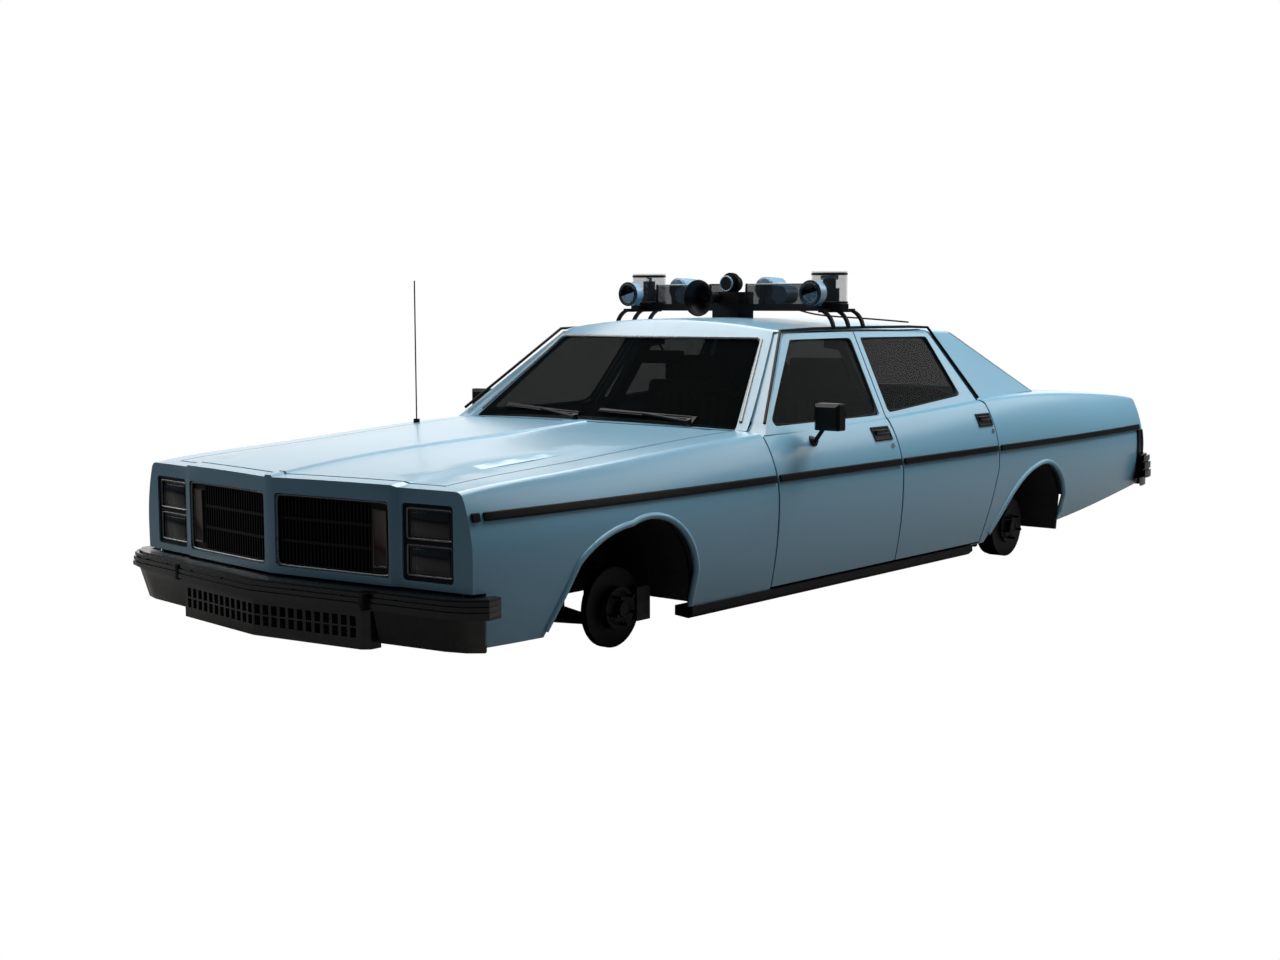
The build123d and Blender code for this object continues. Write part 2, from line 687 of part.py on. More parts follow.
# Grille halves and lamp bezels
with BuildPart() as grille:
    for side in (-1, 1):
        with BuildPart(mode=Mode.PRIVATE) as half:
            xs = (GRILLE_X[0] + 0.4, GRILLE_X[1] - 0.4)
            zs = (GRILLE_Z[0] + 0.4, GRILLE_Z[1] - 0.4)
            add(block(xs[0], xs[1], -2700, -2560, zs[0], zs[1]))
            fillet(edges().filter_by(Axis.Y), 13)
            add(block(xs[0] + 12, xs[1] - 12, -2720, -2500, zs[0] + 12, zs[1] - 12), mode=Mode.SUBTRACT)
            for index in range(25):
                x = xs[0] + 20 + index * (xs[1] - xs[0] - 120) / 24
                add(block(x - 2.5, x + 2.5, -2700, -2560, zs[0] + 4, zs[1] - 4))
            for z in (zs[0] + 92, zs[0] + 172):
                add(block(xs[0] + 6, xs[1] - 6, -2700, -2560, z - 5, z + 5))
            add(block(xs[1] - 92, xs[1] - 6, -2700, -2560, zs[0] + 6, zs[1] - 6))
            lip = [(x, y + 14) for x, y in NOSE_PLAN]
            back = [(x, y + 44) for x, y in reversed(NOSE_PLAN)]
            add(plan_prism(lip + back, 300, 700), mode=Mode.INTERSECT)
        with BuildPart(mode=Mode.PRIVATE) as bezel:
            add(block(LAMP_X[0] + 0.4, LAMP_X[1] - 0.4, -2680, -2500, LAMP_Z[0] + 0.4, LAMP_Z[1] - 0.4))
            fillet(edges().filter_by(Axis.Y), 13)
            for z in (LAMP_Z[0] + 12, (LAMP_Z[0] + LAMP_Z[1]) / 2 + 5):
                add(block(LAMP_X[0] + 12, LAMP_X[1] - 12, -2700, -2480, z, z + 114), mode=Mode.SUBTRACT)
            lip = [(x, y + 6) for x, y in NOSE_PLAN]
            back = [(x, y + 50) for x, y in reversed(NOSE_PLAN)]
            add(plan_prism(lip + back, 300, 700), mode=Mode.INTERSECT)
        for piece in (half.part, bezel.part):
            add(piece.mirror(Plane.YZ) if side < 0 else piece)
export("grille", grille.part)

# Headlamp lenses
with BuildPart() as headlamps:
    for side in (-1, 1):
        for z in (LAMP_Z[0] + 12, (LAMP_Z[0] + LAMP_Z[1]) / 2 + 5):
            with BuildPart(mode=Mode.PRIVATE) as lens:
                add(block(LAMP_X[0] + 12.4, LAMP_X[1] - 12.4, -2680, -2480, z + 0.4, z + 113.6))
                lip = [(x, y + 16) for x, y in NOSE_PLAN]
                back = [(x, y + 46) for x, y in reversed(NOSE_PLAN)]
                add(plan_prism(lip + back, 300, 700), mode=Mode.INTERSECT)
            add(lens.part.mirror(Plane.YZ) if side < 0 else lens.part)
export("headlamps", headlamps.part)

# Bumpers and the valance
BUMPER_PLAN = ((0, -2770), (505, -2702), (530, -2680), (850, -2640), (930, -2612), (985, -2560))
bar_front = [(-x, y) for x, y in reversed(BUMPER_PLAN[1:])] + list(BUMPER_PLAN)
BUMPER_BACK = ((0, -2610), (840, -2560), (900, -2550), (932, -2480), (960, -2480))
bar_back = list(reversed(BUMPER_BACK)) + [(-x, y) for x, y in BUMPER_BACK[1:]]
BUMPER_END = 985
Layer = namedtuple("Layer", "z_from z_to back")
BUMPER_LAYERS = (
    Layer(246, 258, 16),
    Layer(258, 274, 0),
    Layer(274, 279, 8),
    Layer(279, 292, 2),
    Layer(292, 297, 10),
    Layer(297, 308, 6),
    Layer(308, 316, 18),
)


def set_back(points, amount):
    """Plan outline of the bumper's front, drawn inwards."""
    return [(x * (1 - amount / BUMPER_END), y + amount) for x, y in points]


with BuildPart() as front_bumper:
    for layer in BUMPER_LAYERS:
        add(plan_prism(set_back(bar_front, layer.back) + bar_back, layer.z_from, layer.z_to))
    for side in (-1, 1):
        add(block(side * 400, side * 470, -2592, -2480, 200, 262))
export("front_bumper", front_bumper.part)

# Skirts under the bumper's ends and the slotted valance between them
SKIRT_Z = (132, 246)
SKIRT_TOP = (
    (532, -2658), (836, -2620), (912, -2594), (958, -2554), (944, -2533),
    (890, -2533), (872, -2540), (532, -2592),
)
SKIRT_LEAN = 24
VALANCE_HALF = 520
VALANCE_Z = (112, 246)
VALANCE_WALL = 46
SLOT_ROWS = (150, 190)
SLOT_H = 34
SLOT_W = 26
SLOT_PITCH = 40
SLOT_COUNT = 24
with BuildPart() as skirt:
    for z, lean in ((SKIRT_Z[1], 0), (SKIRT_Z[0], SKIRT_LEAN)):
        with BuildSketch(Plane.XY.offset(z)):
            with BuildLine():
                Polyline(*[(x - lean * (x > 800), y + lean) for x, y in SKIRT_TOP], close=True)
            make_face()
    loft(ruled=True)
with BuildPart() as valance:
    valance_front = [(x, y) for x, y in set_back(bar_front, 20) if abs(x) < VALANCE_HALF]
    valance_back = [(x, y + VALANCE_WALL) for x, y in reversed(valance_front)]
    add(plan_prism(valance_front + valance_back, *VALANCE_Z))
    for index in range(SLOT_COUNT):
        x = (index - (SLOT_COUNT - 1) / 2) * SLOT_PITCH
        for z in SLOT_ROWS:
            add(
                block(x - SLOT_W / 2, x + SLOT_W / 2, -2900, -2560, z, z + SLOT_H),
                mode=Mode.SUBTRACT,
            )
with BuildPart() as front_valance:
    add(valance.part)
    add(both_sides(skirt.part))
export("front_valance", front_valance.part)

TAIL_PLAN = ((0, 2770), (520, 2752), (850, 2722), (930, 2680), (950, 2600), (950, 2560))
tail_front = [(-x, y) for x, y in reversed(TAIL_PLAN[1:])] + list(TAIL_PLAN)
TAIL_LAYERS = (
    Layer(255, 300, 22),
    Layer(300, 340, 0),
    Layer(340, 347, 9),
    Layer(347, 384, 2),
    Layer(384, 391, 11),
    Layer(391, 420, 6),
    Layer(420, 430, 20),
)
with BuildPart() as rear_bumper:
    for layer in TAIL_LAYERS:
        outline = [(x * (1 - layer.back / BUMPER_END), y - layer.back) for x, y in tail_front]
        add(plan_prism(outline + [(906, TAIL_Y), (-906, TAIL_Y)], layer.z_from, layer.z_to))
export("rear_bumper", rear_bumper.part)

# Sills
SILL = ((840, FLOOR_Z), (905, 86), (926, 104), (924, SILL_TOP), (840, SILL_TOP))
with BuildPart() as sill:
    add(front_prism(SILL, -1424, 700))
    add(arch_r, mode=Mode.SUBTRACT)
export("sills", both_sides(sill.part))

# Wheel liners in sections along the arch, with a wall inside the rear pair
FRONT_JOINTS = (-2072, -1940, -1800, -1610, -1490)
REAR_JOINTS = (1013, 1150, 1310, 1450, 1550)
with BuildPart() as liners:
    with BuildPart(mode=Mode.PRIVATE) as liner_f:
        add(front_arch(20))
        add(front_arch(8), mode=Mode.SUBTRACT)
        add(block(485 + SEAM, 898, -2260, -1380, 150, 640), mode=Mode.INTERSECT)
        for y in FRONT_JOINTS:
            add(block(400, 1000, y, y + SEAM, 0, 700), mode=Mode.SUBTRACT)
    with BuildPart(mode=Mode.PRIVATE) as liner_r:
        add(rear_arch(20))
        add(rear_arch(8), mode=Mode.SUBTRACT)
        add(block(560 + SEAM, 898, 700, 1700, FLOOR_Z + FLOOR_T + SEAM, 640), mode=Mode.INTERSECT)
        for y in REAR_JOINTS:
            add(block(400, 1000, y, y + SEAM, 0, 700), mode=Mode.SUBTRACT)
    with BuildPart(mode=Mode.PRIVATE) as wall_r:
        add(rear_arch(20))
        add(block(545 + SEAM, 560, 700, 1700, 250, 640), mode=Mode.INTERSECT)
    add(both_sides(liner_f.part))
    add(both_sides(liner_r.part))
    add(both_sides(wall_r.part))
export("wheel_liners", liners.part)

# Underbody of plates and rails with sealed seams between them
FLOOR_TOP = FLOOR_Z + FLOOR_T
TUNNEL_HALF = 150
TUNNEL_TOP = 244
SHEET = 18
FIREWALL_Y = -1060
HEEL_Y = 1060
REAR_HALF = 545
PAN_Z = 340
SHELF_Z = 770
TRUNK_Z = 320
TRUNK_Y = 1690
with BuildPart() as underbody:
    add(block(-TUNNEL_HALF, TUNNEL_HALF, FIREWALL_Y + SEAM, 1000, FLOOR_Z, TUNNEL_TOP))
    add(block(-840, 840, FIREWALL_Y - 20, FIREWALL_Y, FLOOR_Z, 700))
    add(block(-REAR_HALF, REAR_HALF, HEEL_Y, HEEL_Y + 20, FLOOR_Z, PAN_Z))
    inner_half = TUNNEL_HALF - SHEET
    add(block(-inner_half, inner_half, -1100, 1100, 0, TUNNEL_TOP - SHEET), mode=Mode.SUBTRACT)
    add(block(-REAR_HALF, REAR_HALF, HEEL_Y + 20 + SEAM, TRUNK_Y - SEAM, PAN_Z - 20, PAN_Z))
    add(block(-REAR_HALF, REAR_HALF, 1180, 1196, PAN_Z + SEAM, SHELF_Z - SEAM))
    add(block(-775, 775, 1180, 1600, SHELF_Z, SHELF_Z + 15))
    add(block(-790, 790, TRUNK_Y, TAIL_Y - TAIL_T, TRUNK_Z - 20, TRUNK_Z))
    add(block(-REAR_HALF, REAR_HALF, TRUNK_Y, TRUNK_Y + 14, TRUNK_Z - 20, PAN_Z))
    add(block(-400 + SEAM, 400 - SEAM, -2480, -2440, 160, 600))
    with BuildPart(mode=Mode.PRIVATE) as left_half:
        add(block(TUNNEL_HALF + SEAM, 840, FIREWALL_Y + SEAM, 690, FLOOR_Z, FLOOR_TOP))
        add(block(TUNNEL_HALF + SEAM, REAR_HALF, 690 + SEAM, HEEL_Y - SEAM, FLOOR_Z, FLOOR_TOP))
        add(block(400, 470, -2480, FIREWALL_Y - 20 - SEAM, 160, 262))
        add(block(464, 485, -2480, FIREWALL_Y - 20 - SEAM, 250, 640))
        add(block(460, 500, -1805, -1585, 262, 400), mode=Mode.SUBTRACT)
        add(block(480, REAR_HALF, HEEL_Y + 20 + SEAM, 2600, 240, TRUNK_Z - 20 - SEAM))
        add(block(760, POST_X, FIREWALL_Y + SEAM, -790, FLOOR_TOP + SEAM, 690))
        add(hinge_arms(-905 + HINGE_BACK))
    add(both_sides(left_half.part))
export("underbody", underbody.part)

# Front suspension on its cross member
with BuildPart() as subframe:
    add(block(-470, 470, AXLE_FRONT_Y - 55, AXLE_FRONT_Y + 55, 78, 160))
    for side in (-1, 1):
        for low, high, root, spread in ((78, 96, 400, 130), (284, 302, 410, 92)):
            arm = (
                (side * root, AXLE_FRONT_Y - spread), (side * (KINGPIN_X + 24), AXLE_FRONT_Y - 26),
                (side * (KINGPIN_X + 24), AXLE_FRONT_Y + 26), (side * root, AXLE_FRONT_Y + spread),
            )
            add(plan_prism(arm, low, high))
            pin_from = (side * KINGPIN_X, AXLE_FRONT_Y, low)
            pin_to = (side * KINGPIN_X, AXLE_FRONT_Y, high)
            add(rod(pin_from, pin_to, KINGPIN_R + HINGE_PIN_GAP), mode=Mode.SUBTRACT)
        add(block(side * 405, side * 465, AXLE_FRONT_Y - 80, AXLE_FRONT_Y + 80, 262, 302))
export("subframe", subframe.part)

# Steering knuckle with its brake caliper
with BuildPart() as knuckle:
    add(block(KINGPIN_X - 20, KINGPIN_X + 20, AXLE_FRONT_Y - 26, AXLE_FRONT_Y + 26, 104, 276))
    fillet(edges().filter_by(Axis.Z), 10)
    add(rod((KINGPIN_X, AXLE_FRONT_Y, 78), (KINGPIN_X, AXLE_FRONT_Y, 302), KINGPIN_R))
    add(rod((KINGPIN_X, AXLE_FRONT_Y, HUB_Z), (772, AXLE_FRONT_Y, HUB_Z), 15))
    add(block(KINGPIN_X + 10, 694, AXLE_FRONT_Y + 10, AXLE_FRONT_Y + 172, HUB_Z - 22, HUB_Z + 26))
    add(block(690, 800, AXLE_FRONT_Y + 96, AXLE_FRONT_Y + 172, HUB_Z - 62, HUB_Z + 66))
    slot_y = (AXLE_FRONT_Y + 60, AXLE_FRONT_Y + 158)
    add(block(DISC_X - 6, DISC_X + DISC_T + 6, *slot_y, 0, 320), mode=Mode.SUBTRACT)
    with Locations(Location((750, AXLE_FRONT_Y, HUB_Z), (0, 90, 0))):
        Cylinder(92, 68, mode=Mode.SUBTRACT)
    add(rod((KINGPIN_X, AXLE_FRONT_Y, HUB_Z), (772, AXLE_FRONT_Y, HUB_Z), 15))
export("knuckle_left", knuckle.part)
export("knuckle_right", knuckle.part.mirror(Plane.YZ))


def studs(y, radius):
    """Five wheel studs and the dust cap on a hub face."""
    with BuildPart() as ring:
        with Locations(Location((HUB_FACE_X, y, HUB_Z), (0, 90, 0))):
            with PolarLocations(STUD_PCD / 2, STUD_COUNT):
                Cylinder(radius, STUD_LENGTH, align=(Align.CENTER, Align.CENTER, Align.MIN))
            Cylinder(32, 22, align=(Align.CENTER, Align.CENTER, Align.MIN))
    return ring.part


def front_hub(stud_r):
    """A left front hub with its brake disc and studs of one size."""
    with BuildPart() as hub:
        add(rod((DISC_X, AXLE_FRONT_Y, HUB_Z), (DISC_X + DISC_T, AXLE_FRONT_Y, HUB_Z), DISC_R))
        add(rod((700, AXLE_FRONT_Y, HUB_Z), (HUB_FACE_X, AXLE_FRONT_Y, HUB_Z), 42))
        add(rod((DISC_X, AXLE_FRONT_Y, HUB_Z), (HUB_FACE_X, AXLE_FRONT_Y, HUB_Z), 80))
        add(rod((690, AXLE_FRONT_Y, HUB_Z), (780, AXLE_FRONT_Y, HUB_Z), 15.06), mode=Mode.SUBTRACT)
        add(studs(AXLE_FRONT_Y, stud_r))
    return hub.part


def rear_hub(stud_r):
    """A left rear hub with its brake drum and studs of one size."""
    with BuildPart() as hub:
        add(rod((712, AXLE_REAR_Y, HUB_Z), (788, AXLE_REAR_Y, HUB_Z), DISC_R))
        add(rod((780, AXLE_REAR_Y, HUB_Z), (HUB_FACE_X, AXLE_REAR_Y, HUB_Z), 80))
        add(rod((700, AXLE_REAR_Y, HUB_Z), (774, AXLE_REAR_Y, HUB_Z), 138), mode=Mode.SUBTRACT)
        add(rod((716, AXLE_REAR_Y, HUB_Z), (HUB_FACE_X, AXLE_REAR_Y, HUB_Z), 42))
        add(rod((700, AXLE_REAR_Y, HUB_Z), (780, AXLE_REAR_Y, HUB_Z), 18.06), mode=Mode.SUBTRACT)
        add(studs(AXLE_REAR_Y, stud_r))
    return hub.part


# Half-inch studs on the left, 12 mm studs on the right
export("front_hub_left", front_hub(LEFT_STUD_R))
export("front_hub_right", front_hub(RIGHT_STUD_R).mirror(Plane.YZ))
export("rear_hub_left", rear_hub(LEFT_STUD_R))
export("rear_hub_right", rear_hub(RIGHT_STUD_R).mirror(Plane.YZ))

# Rear axle, leaf springs and propeller shaft
with BuildPart() as rear_axle:
    add(rod((-694, AXLE_REAR_Y, HUB_Z), (694, AXLE_REAR_Y, HUB_Z), 42))
    add(rod((-772, AXLE_REAR_Y, HUB_Z), (772, AXLE_REAR_Y, HUB_Z), 18))
    with Locations((0, AXLE_REAR_Y, HUB_Z)):
        Sphere(122)
    add(rod((0, -540, 165), (0, AXLE_REAR_Y, HUB_Z), 38))
    for side in (-1, 1):
        add(rod((side * 694, AXLE_REAR_Y, HUB_Z), (side * 704, AXLE_REAR_Y, HUB_Z), 146))
        with BuildSketch(Plane.YZ.offset(side * 445 - 30)):
            with BuildLine():
                ThreePointArc((720, 44), (AXLE_REAR_Y, 96), (1950, 246))
                Line((1950, 246), (1950, 262))
                ThreePointArc((1950, 262), (AXLE_REAR_Y, 112), (720, 60))
                Line((720, 60), (720, 44))
            make_face()
        extrude(amount=60)
        add(block(side * 415, side * 475, 1920, 1950, 250, 300))
        add(block(side * 415, side * 475, 720, 750, 50, FLOOR_Z))
export("rear_axle", rear_axle.part)

# Engine with its gearbox
with BuildPart() as engine:
    add(block(-250, 250, -2260, -1480, 190, 560))
    fillet(edges().filter_by(Axis.Y), 60)
    add(block(-110, 110, -1480 + SEAM, -560, 130, 222))
    add(block(-300, 300, -1740, -1650, 160, 230))
    add(rod((0, -1850, 550), (0, -1850, 640), 190))
export("engine", engine.part)

# Exhaust
with BuildPart() as exhaust:
    add(rod((-330, -1520, 62), (-330, 2560, 62), 26))
    add(block(-410, -250, 250, 800, 34, 92))
    add(rod((-290, -1500, 62), (-290, -1500, 300), 26))
    add(block(-316, -250, -1530, -1480, 290, 330))
    add(block(-350, -310, 2520, 2550, 62, 300))
export("exhaust", exhaust.part)

# Fuel tank
with BuildPart() as fuel_tank:
    add(block(-240, 390, 1760, 2420, 140, 300))
    fillet(edges().filter_by(Axis.Y), 30)
export("fuel_tank", fuel_tank.part)

# Dashboard with the steering column
WHEEL_X = 370
column_low = (WHEEL_X, -760, 600)
column_high = (WHEEL_X, -520, 690)
DASH = (
    (-1060, 560), (-1060, 660), (-880, 665), (-842, 722),
    (-700, 735), (-660, 700), (-690, 600), (-740, 560),
)
with BuildPart() as dashboard:
    add(side_prism(DASH, -740, 740))
    add(rod(column_low, column_high, 36))
    add(rod(column_high, (WHEEL_X, -464, 711), 12))
export("dashboard", dashboard.part)

# Steering wheel
WHEEL_AXIS = Vector(0, 240, 90).normalized()
wheel_at = Vector(*column_high) + WHEEL_AXIS * 40
RIM_R = 190
RIM_SECTION_R = 15
wheel_plane = Plane(origin=wheel_at, x_dir=(1, 0, 0), z_dir=WHEEL_AXIS)
rim_plane = Plane(origin=wheel_at, x_dir=(1, 0, 0), z_dir=wheel_plane.y_dir)
with BuildPart() as steering_wheel:
    with BuildSketch(wheel_plane):
        Circle(48)
        Rectangle(2 * RIM_R, 34)
    extrude(amount=22)
    with BuildSketch(rim_plane):
        with Locations((RIM_R, -11)):
            RegularPolygon(RIM_SECTION_R, 8)
    revolve(axis=Axis(tuple(wheel_at), tuple(WHEEL_AXIS)))
    add(rod(column_high, (WHEEL_X, -464, 711), 12.06), mode=Mode.SUBTRACT)
export("steering_wheel", steering_wheel.part)

# Seats
def cushion(points, x_from, x_to, radius):
    """Padded block with a side-view outline and rounded long edges."""
    with BuildPart() as pad:
        with BuildSketch(Plane.YZ.offset(x_from)):
            with BuildLine():
                Polyline(*points, close=True)
            make_face()
            fillet(vertices(), radius)
        extrude(amount=x_to - x_from)
    return pad.part


SEAT_PAD = ((-360, 252), (-360, 390), (150, 372), (170, 252))
SEAT_BACK = ((110, 360), (196, 880), (300, 872), (232, 300))
HEADREST = ((204, 868), (220, 1010), (300, 1010), (294, 862))
with BuildPart() as front_seats:
    for side in (-1, 1):
        with BuildPart(mode=Mode.PRIVATE) as seat:
            add(cushion(SEAT_PAD, 110, 640, 30))
            add(cushion(SEAT_BACK, 110, 640, 30))
            add(cushion(HEADREST, 200, 550, 24))
            add(block(160, 590, -300, 120, FLOOR_Z + FLOOR_T, 260))
        add(seat.part.mirror(Plane.YZ) if side < 0 else seat.part)
export("front_seats", front_seats.part)

BENCH_PAD = ((520, 240), (520, 430), (1020, 410), (1056, 240))
BENCH_BACK = ((960, 400), (1060, 850), (1178, 850), (1178, 345), (1000, 345))
with BuildPart() as rear_seat:
    add(cushion(BENCH_PAD, -535, 535, 30))
    add(cushion(BENCH_BACK, -535, 535, 24))
    add(block(-500, 500, 560, 1040, FLOOR_Z + FLOOR_T, 260))
    add(block(-160, 160, 500, 1100, 100, 250), mode=Mode.SUBTRACT)
export("rear_seat", rear_seat.part)

# Wipers
with BuildPart() as wipers:
    for x_from, x_to in ((-560, -60), (40, 540)):
        with BuildPart(mode=Mode.PRIVATE) as blade:
            strip = ((x_from, 812), (x_to, 796), (x_to, 806), (x_from, 824))
            add(front_prism(strip, -1200, -700))
            with BuildSketch(Plane.XZ.offset(1200)):
                with Locations((x_to - 6, 785)):
                    Rectangle(12, 40)
            extrude(amount=-500)
            add(glasshouse(-14), mode=Mode.INTERSECT)
            add(glasshouse(-3), mode=Mode.SUBTRACT)
            add(body_outer, mode=Mode.SUBTRACT)
        add(blade.part)
export("wipers", wipers.part)

# Antenna
with BuildPart() as antenna:
    add(rod((-790, -1230, 700), (-790, -1230, 760), 14))
    add(rod((-790, -1230, 750), (-790, -1230, 1370), 3))
    add(body_outer, mode=Mode.SUBTRACT)
export("antenna", antenna.part)

# Light bar
LEG_YS = (-45, 75, 195)
LEG_W = 16
LEG_T = 12
LEG_FOOT = (637, 1151)
DOME_X = 527
DOME_R = 82
DOME_TOP = 1409
COVER_X = (96, 440)
COVER_TOP = 1352
COVER_WALL = 5
CAN_R = 57
CAN_Z = 1310
CAN_BACK_R = 30
INNER_R = 41
INNER_Z = 1304
HORN_X = -62
HORN_Z = 1290
HORN_MOUTH_R = 84
HORN_THROAT_R = 24
HORN_WALL = 6
HORN_Y = (BAR_Y - 205, BAR_Y - 72)
CORE_X = (-92, 60)
HOOP_X = -20
HOOP_Z = 1356

with BuildPart() as leg:
    with BuildSketch(Plane.XZ):
        with BuildLine():
            ThreePointArc((566, BAR_Z + 8), (614, BAR_Z - 20), (LEG_FOOT[0], LEG_FOOT[1]))
            Line((LEG_FOOT[0], LEG_FOOT[1]), (LEG_FOOT[0] - LEG_T, LEG_FOOT[1]))
            ThreePointArc((LEG_FOOT[0] - LEG_T, LEG_FOOT[1]), (604, BAR_Z - 30), (566, BAR_Z + 8 - LEG_T))
            Line((566, BAR_Z + 8 - LEG_T), (566, BAR_Z + 8))
        make_face()
    extrude(amount=LEG_W / 2, both=True)
with BuildPart() as lightbar_base:
    add(block(-BAR_HALF, BAR_HALF, BAR_Y - 60, BAR_Y + 60, BAR_Z, BAR_Z + BAR_H))
    fillet(edges().filter_by(Axis.Z), 40)
    for y in LEG_YS:
        foot = leg.part.moved(Location((0, y, 0)))
        add(both_sides(foot))
    for side in (-1, 1):
        add(block(side * 556, side * 580, LEG_YS[0] - 12, LEG_YS[-1] + 12, BAR_Z - 6, BAR_Z + 10))
        add(block(side * 505, side * 555, BAR_Y - 104, BAR_Y - 55, BAR_Z + 2, BAR_Z + 24))
    add(block(CORE_X[0], CORE_X[1], BAR_Y - 60, BAR_Y + 60, 1180, 1318))
    add(rod((HORN_X, HORN_Y[1], HORN_Z), (HORN_X, BAR_Y - 55, HORN_Z), HORN_THROAT_R))
    add(block(HOOP_X - 16, HOOP_X + 16, BAR_Y - 20, BAR_Y + 20, 1310, 1330))
    add(rod((HOOP_X, BAR_Y - 48, HOOP_Z), (HOOP_X, BAR_Y + 36, HOOP_Z), 36))
    with Locations(Location((HOOP_X, BAR_Y - 8, HOOP_Z), (90, 0, 0))):
        Cylinder(52, 18)
    add(house_outer, mode=Mode.SUBTRACT)
export("lightbar_base", lightbar_base.part)

with BuildPart() as lightbar_covers:
    for side in (-1, 1):
        with Locations((side * DOME_X, BAR_Y, BAR_Z + BAR_H)):
            Cylinder(DOME_R, DOME_TOP - BAR_Z - BAR_H, align=(Align.CENTER, Align.CENTER, Align.MIN))
            Cylinder(
                DOME_R - COVER_WALL, DOME_TOP - BAR_Z - BAR_H - COVER_WALL,
                align=(Align.CENTER, Align.CENTER, Align.MIN), mode=Mode.SUBTRACT,
            )
        with BuildPart(mode=Mode.PRIVATE) as cover:
            for wall in (0, COVER_WALL):
                span = (side * (COVER_X[0] + wall), side * (COVER_X[1] - wall))
                shape = (
                    (BAR_Y - 60 + wall, BAR_Z + BAR_H), (BAR_Y - 54 + wall, COVER_TOP - wall),
                    (BAR_Y + 54 - wall, COVER_TOP - wall), (BAR_Y + 60 - wall, BAR_Z + BAR_H),
                )
                add(
                    side_prism(shape, min(span), max(span)),
                    mode=Mode.SUBTRACT if wall else Mode.ADD,
                )
        add(cover.part)
export("lightbar_covers", lightbar_covers.part)

# Take-down lamps, warning lamps under the covers and beacons in the domes
with BuildPart() as lightbar_lamps:
    for side in (-1, 1):
        front_y = BAR_Y - 160
        add(rod((side * 530, front_y, CAN_Z), (side * 530, front_y + 52, CAN_Z), CAN_R))
        with BuildSketch(Plane.XZ.offset(-(front_y + 52))):
            with Locations((side * 530, CAN_Z)):
                Circle(CAN_R)
        with BuildSketch(Plane.XZ.offset(-(front_y + 74))):
            with Locations((side * 530, CAN_Z)):
                Circle(CAN_BACK_R)
        loft()
        add(block(side * 512, side * 548, front_y + 56, front_y + 66, BAR_Z + 24, CAN_Z - 20))
        add(rod((side * 285, BAR_Y - 46, INNER_Z), (side * 285, BAR_Y + 46, INNER_Z), INNER_R))
        add(block(side * 270, side * 300, BAR_Y - 30, BAR_Y + 30, BAR_Z + BAR_H, INNER_Z - INNER_R + 12))
        with Locations((side * DOME_X, BAR_Y, BAR_Z + BAR_H)):
            Cylinder(46, 70, align=(Align.CENTER, Align.CENTER, Align.MIN))
        with Locations((side * DOME_X, BAR_Y, BAR_Z + BAR_H + 70)):
            Cylinder(30, 40, align=(Align.CENTER, Align.CENTER, Align.MIN))
export("lightbar_lamps", lightbar_lamps.part)

# Siren horn as a hollow bell with its driver
with BuildPart() as siren_horn:
    with BuildSketch(Plane.XY.offset(HORN_Z)):
        with BuildLine():
            ThreePointArc(
                (HORN_X + HORN_MOUTH_R, HORN_Y[0]), (HORN_X + 44, HORN_Y[0] + 52),
                (HORN_X + HORN_THROAT_R, HORN_Y[1]),
            )
            Line((HORN_X + HORN_THROAT_R, HORN_Y[1]), (HORN_X, HORN_Y[1]))
            Line((HORN_X, HORN_Y[1]), (HORN_X, HORN_Y[0] + 40))
            Line((HORN_X, HORN_Y[0] + 40), (HORN_X + 22, HORN_Y[0] + 62))
            Line((HORN_X + 22, HORN_Y[0] + 62), (HORN_X + 34, HORN_Y[0] + 62))
            ThreePointArc(
                (HORN_X + 34, HORN_Y[0] + 62), (HORN_X + 50, HORN_Y[0] + 28),
                (HORN_X + HORN_MOUTH_R - HORN_WALL, HORN_Y[0]),
            )
            Line((HORN_X + HORN_MOUTH_R - HORN_WALL, HORN_Y[0]), (HORN_X + HORN_MOUTH_R, HORN_Y[0]))
        make_face()
    revolve(axis=Axis((HORN_X, 0, HORN_Z), (0, 1, 0)))
export("siren_horn", siren_horn.part)
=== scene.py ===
"""Finishes, trim, lamps, seats and studio for a patrol sedan that stands on its brakes.

Metres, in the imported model's own frame: the nose points along -Y, +X is the left side, +Z is up.
"""
from __future__ import annotations

import json
import logging
import math
from dataclasses import dataclass, field, replace
from enum import Enum
from typing import Callable, Sequence

import bpy
from mathutils import Matrix, Vector

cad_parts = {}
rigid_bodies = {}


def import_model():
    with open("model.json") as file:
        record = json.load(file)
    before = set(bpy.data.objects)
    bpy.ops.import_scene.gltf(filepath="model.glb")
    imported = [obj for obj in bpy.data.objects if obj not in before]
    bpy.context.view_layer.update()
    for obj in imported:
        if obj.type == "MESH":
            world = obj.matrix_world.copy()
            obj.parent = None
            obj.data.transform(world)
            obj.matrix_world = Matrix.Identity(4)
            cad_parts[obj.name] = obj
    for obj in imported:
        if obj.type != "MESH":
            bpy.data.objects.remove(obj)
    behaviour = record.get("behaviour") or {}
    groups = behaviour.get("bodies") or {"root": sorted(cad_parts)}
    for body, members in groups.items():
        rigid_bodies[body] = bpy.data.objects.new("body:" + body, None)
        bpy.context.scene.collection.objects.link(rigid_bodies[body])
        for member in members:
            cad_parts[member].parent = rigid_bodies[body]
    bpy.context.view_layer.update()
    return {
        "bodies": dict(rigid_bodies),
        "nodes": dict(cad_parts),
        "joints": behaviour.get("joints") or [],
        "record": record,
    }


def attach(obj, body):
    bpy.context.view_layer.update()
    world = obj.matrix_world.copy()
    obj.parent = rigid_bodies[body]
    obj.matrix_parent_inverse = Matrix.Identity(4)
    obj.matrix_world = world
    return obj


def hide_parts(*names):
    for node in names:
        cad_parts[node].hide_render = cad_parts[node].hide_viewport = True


LOG = logging.getLogger("patrol_sedan")
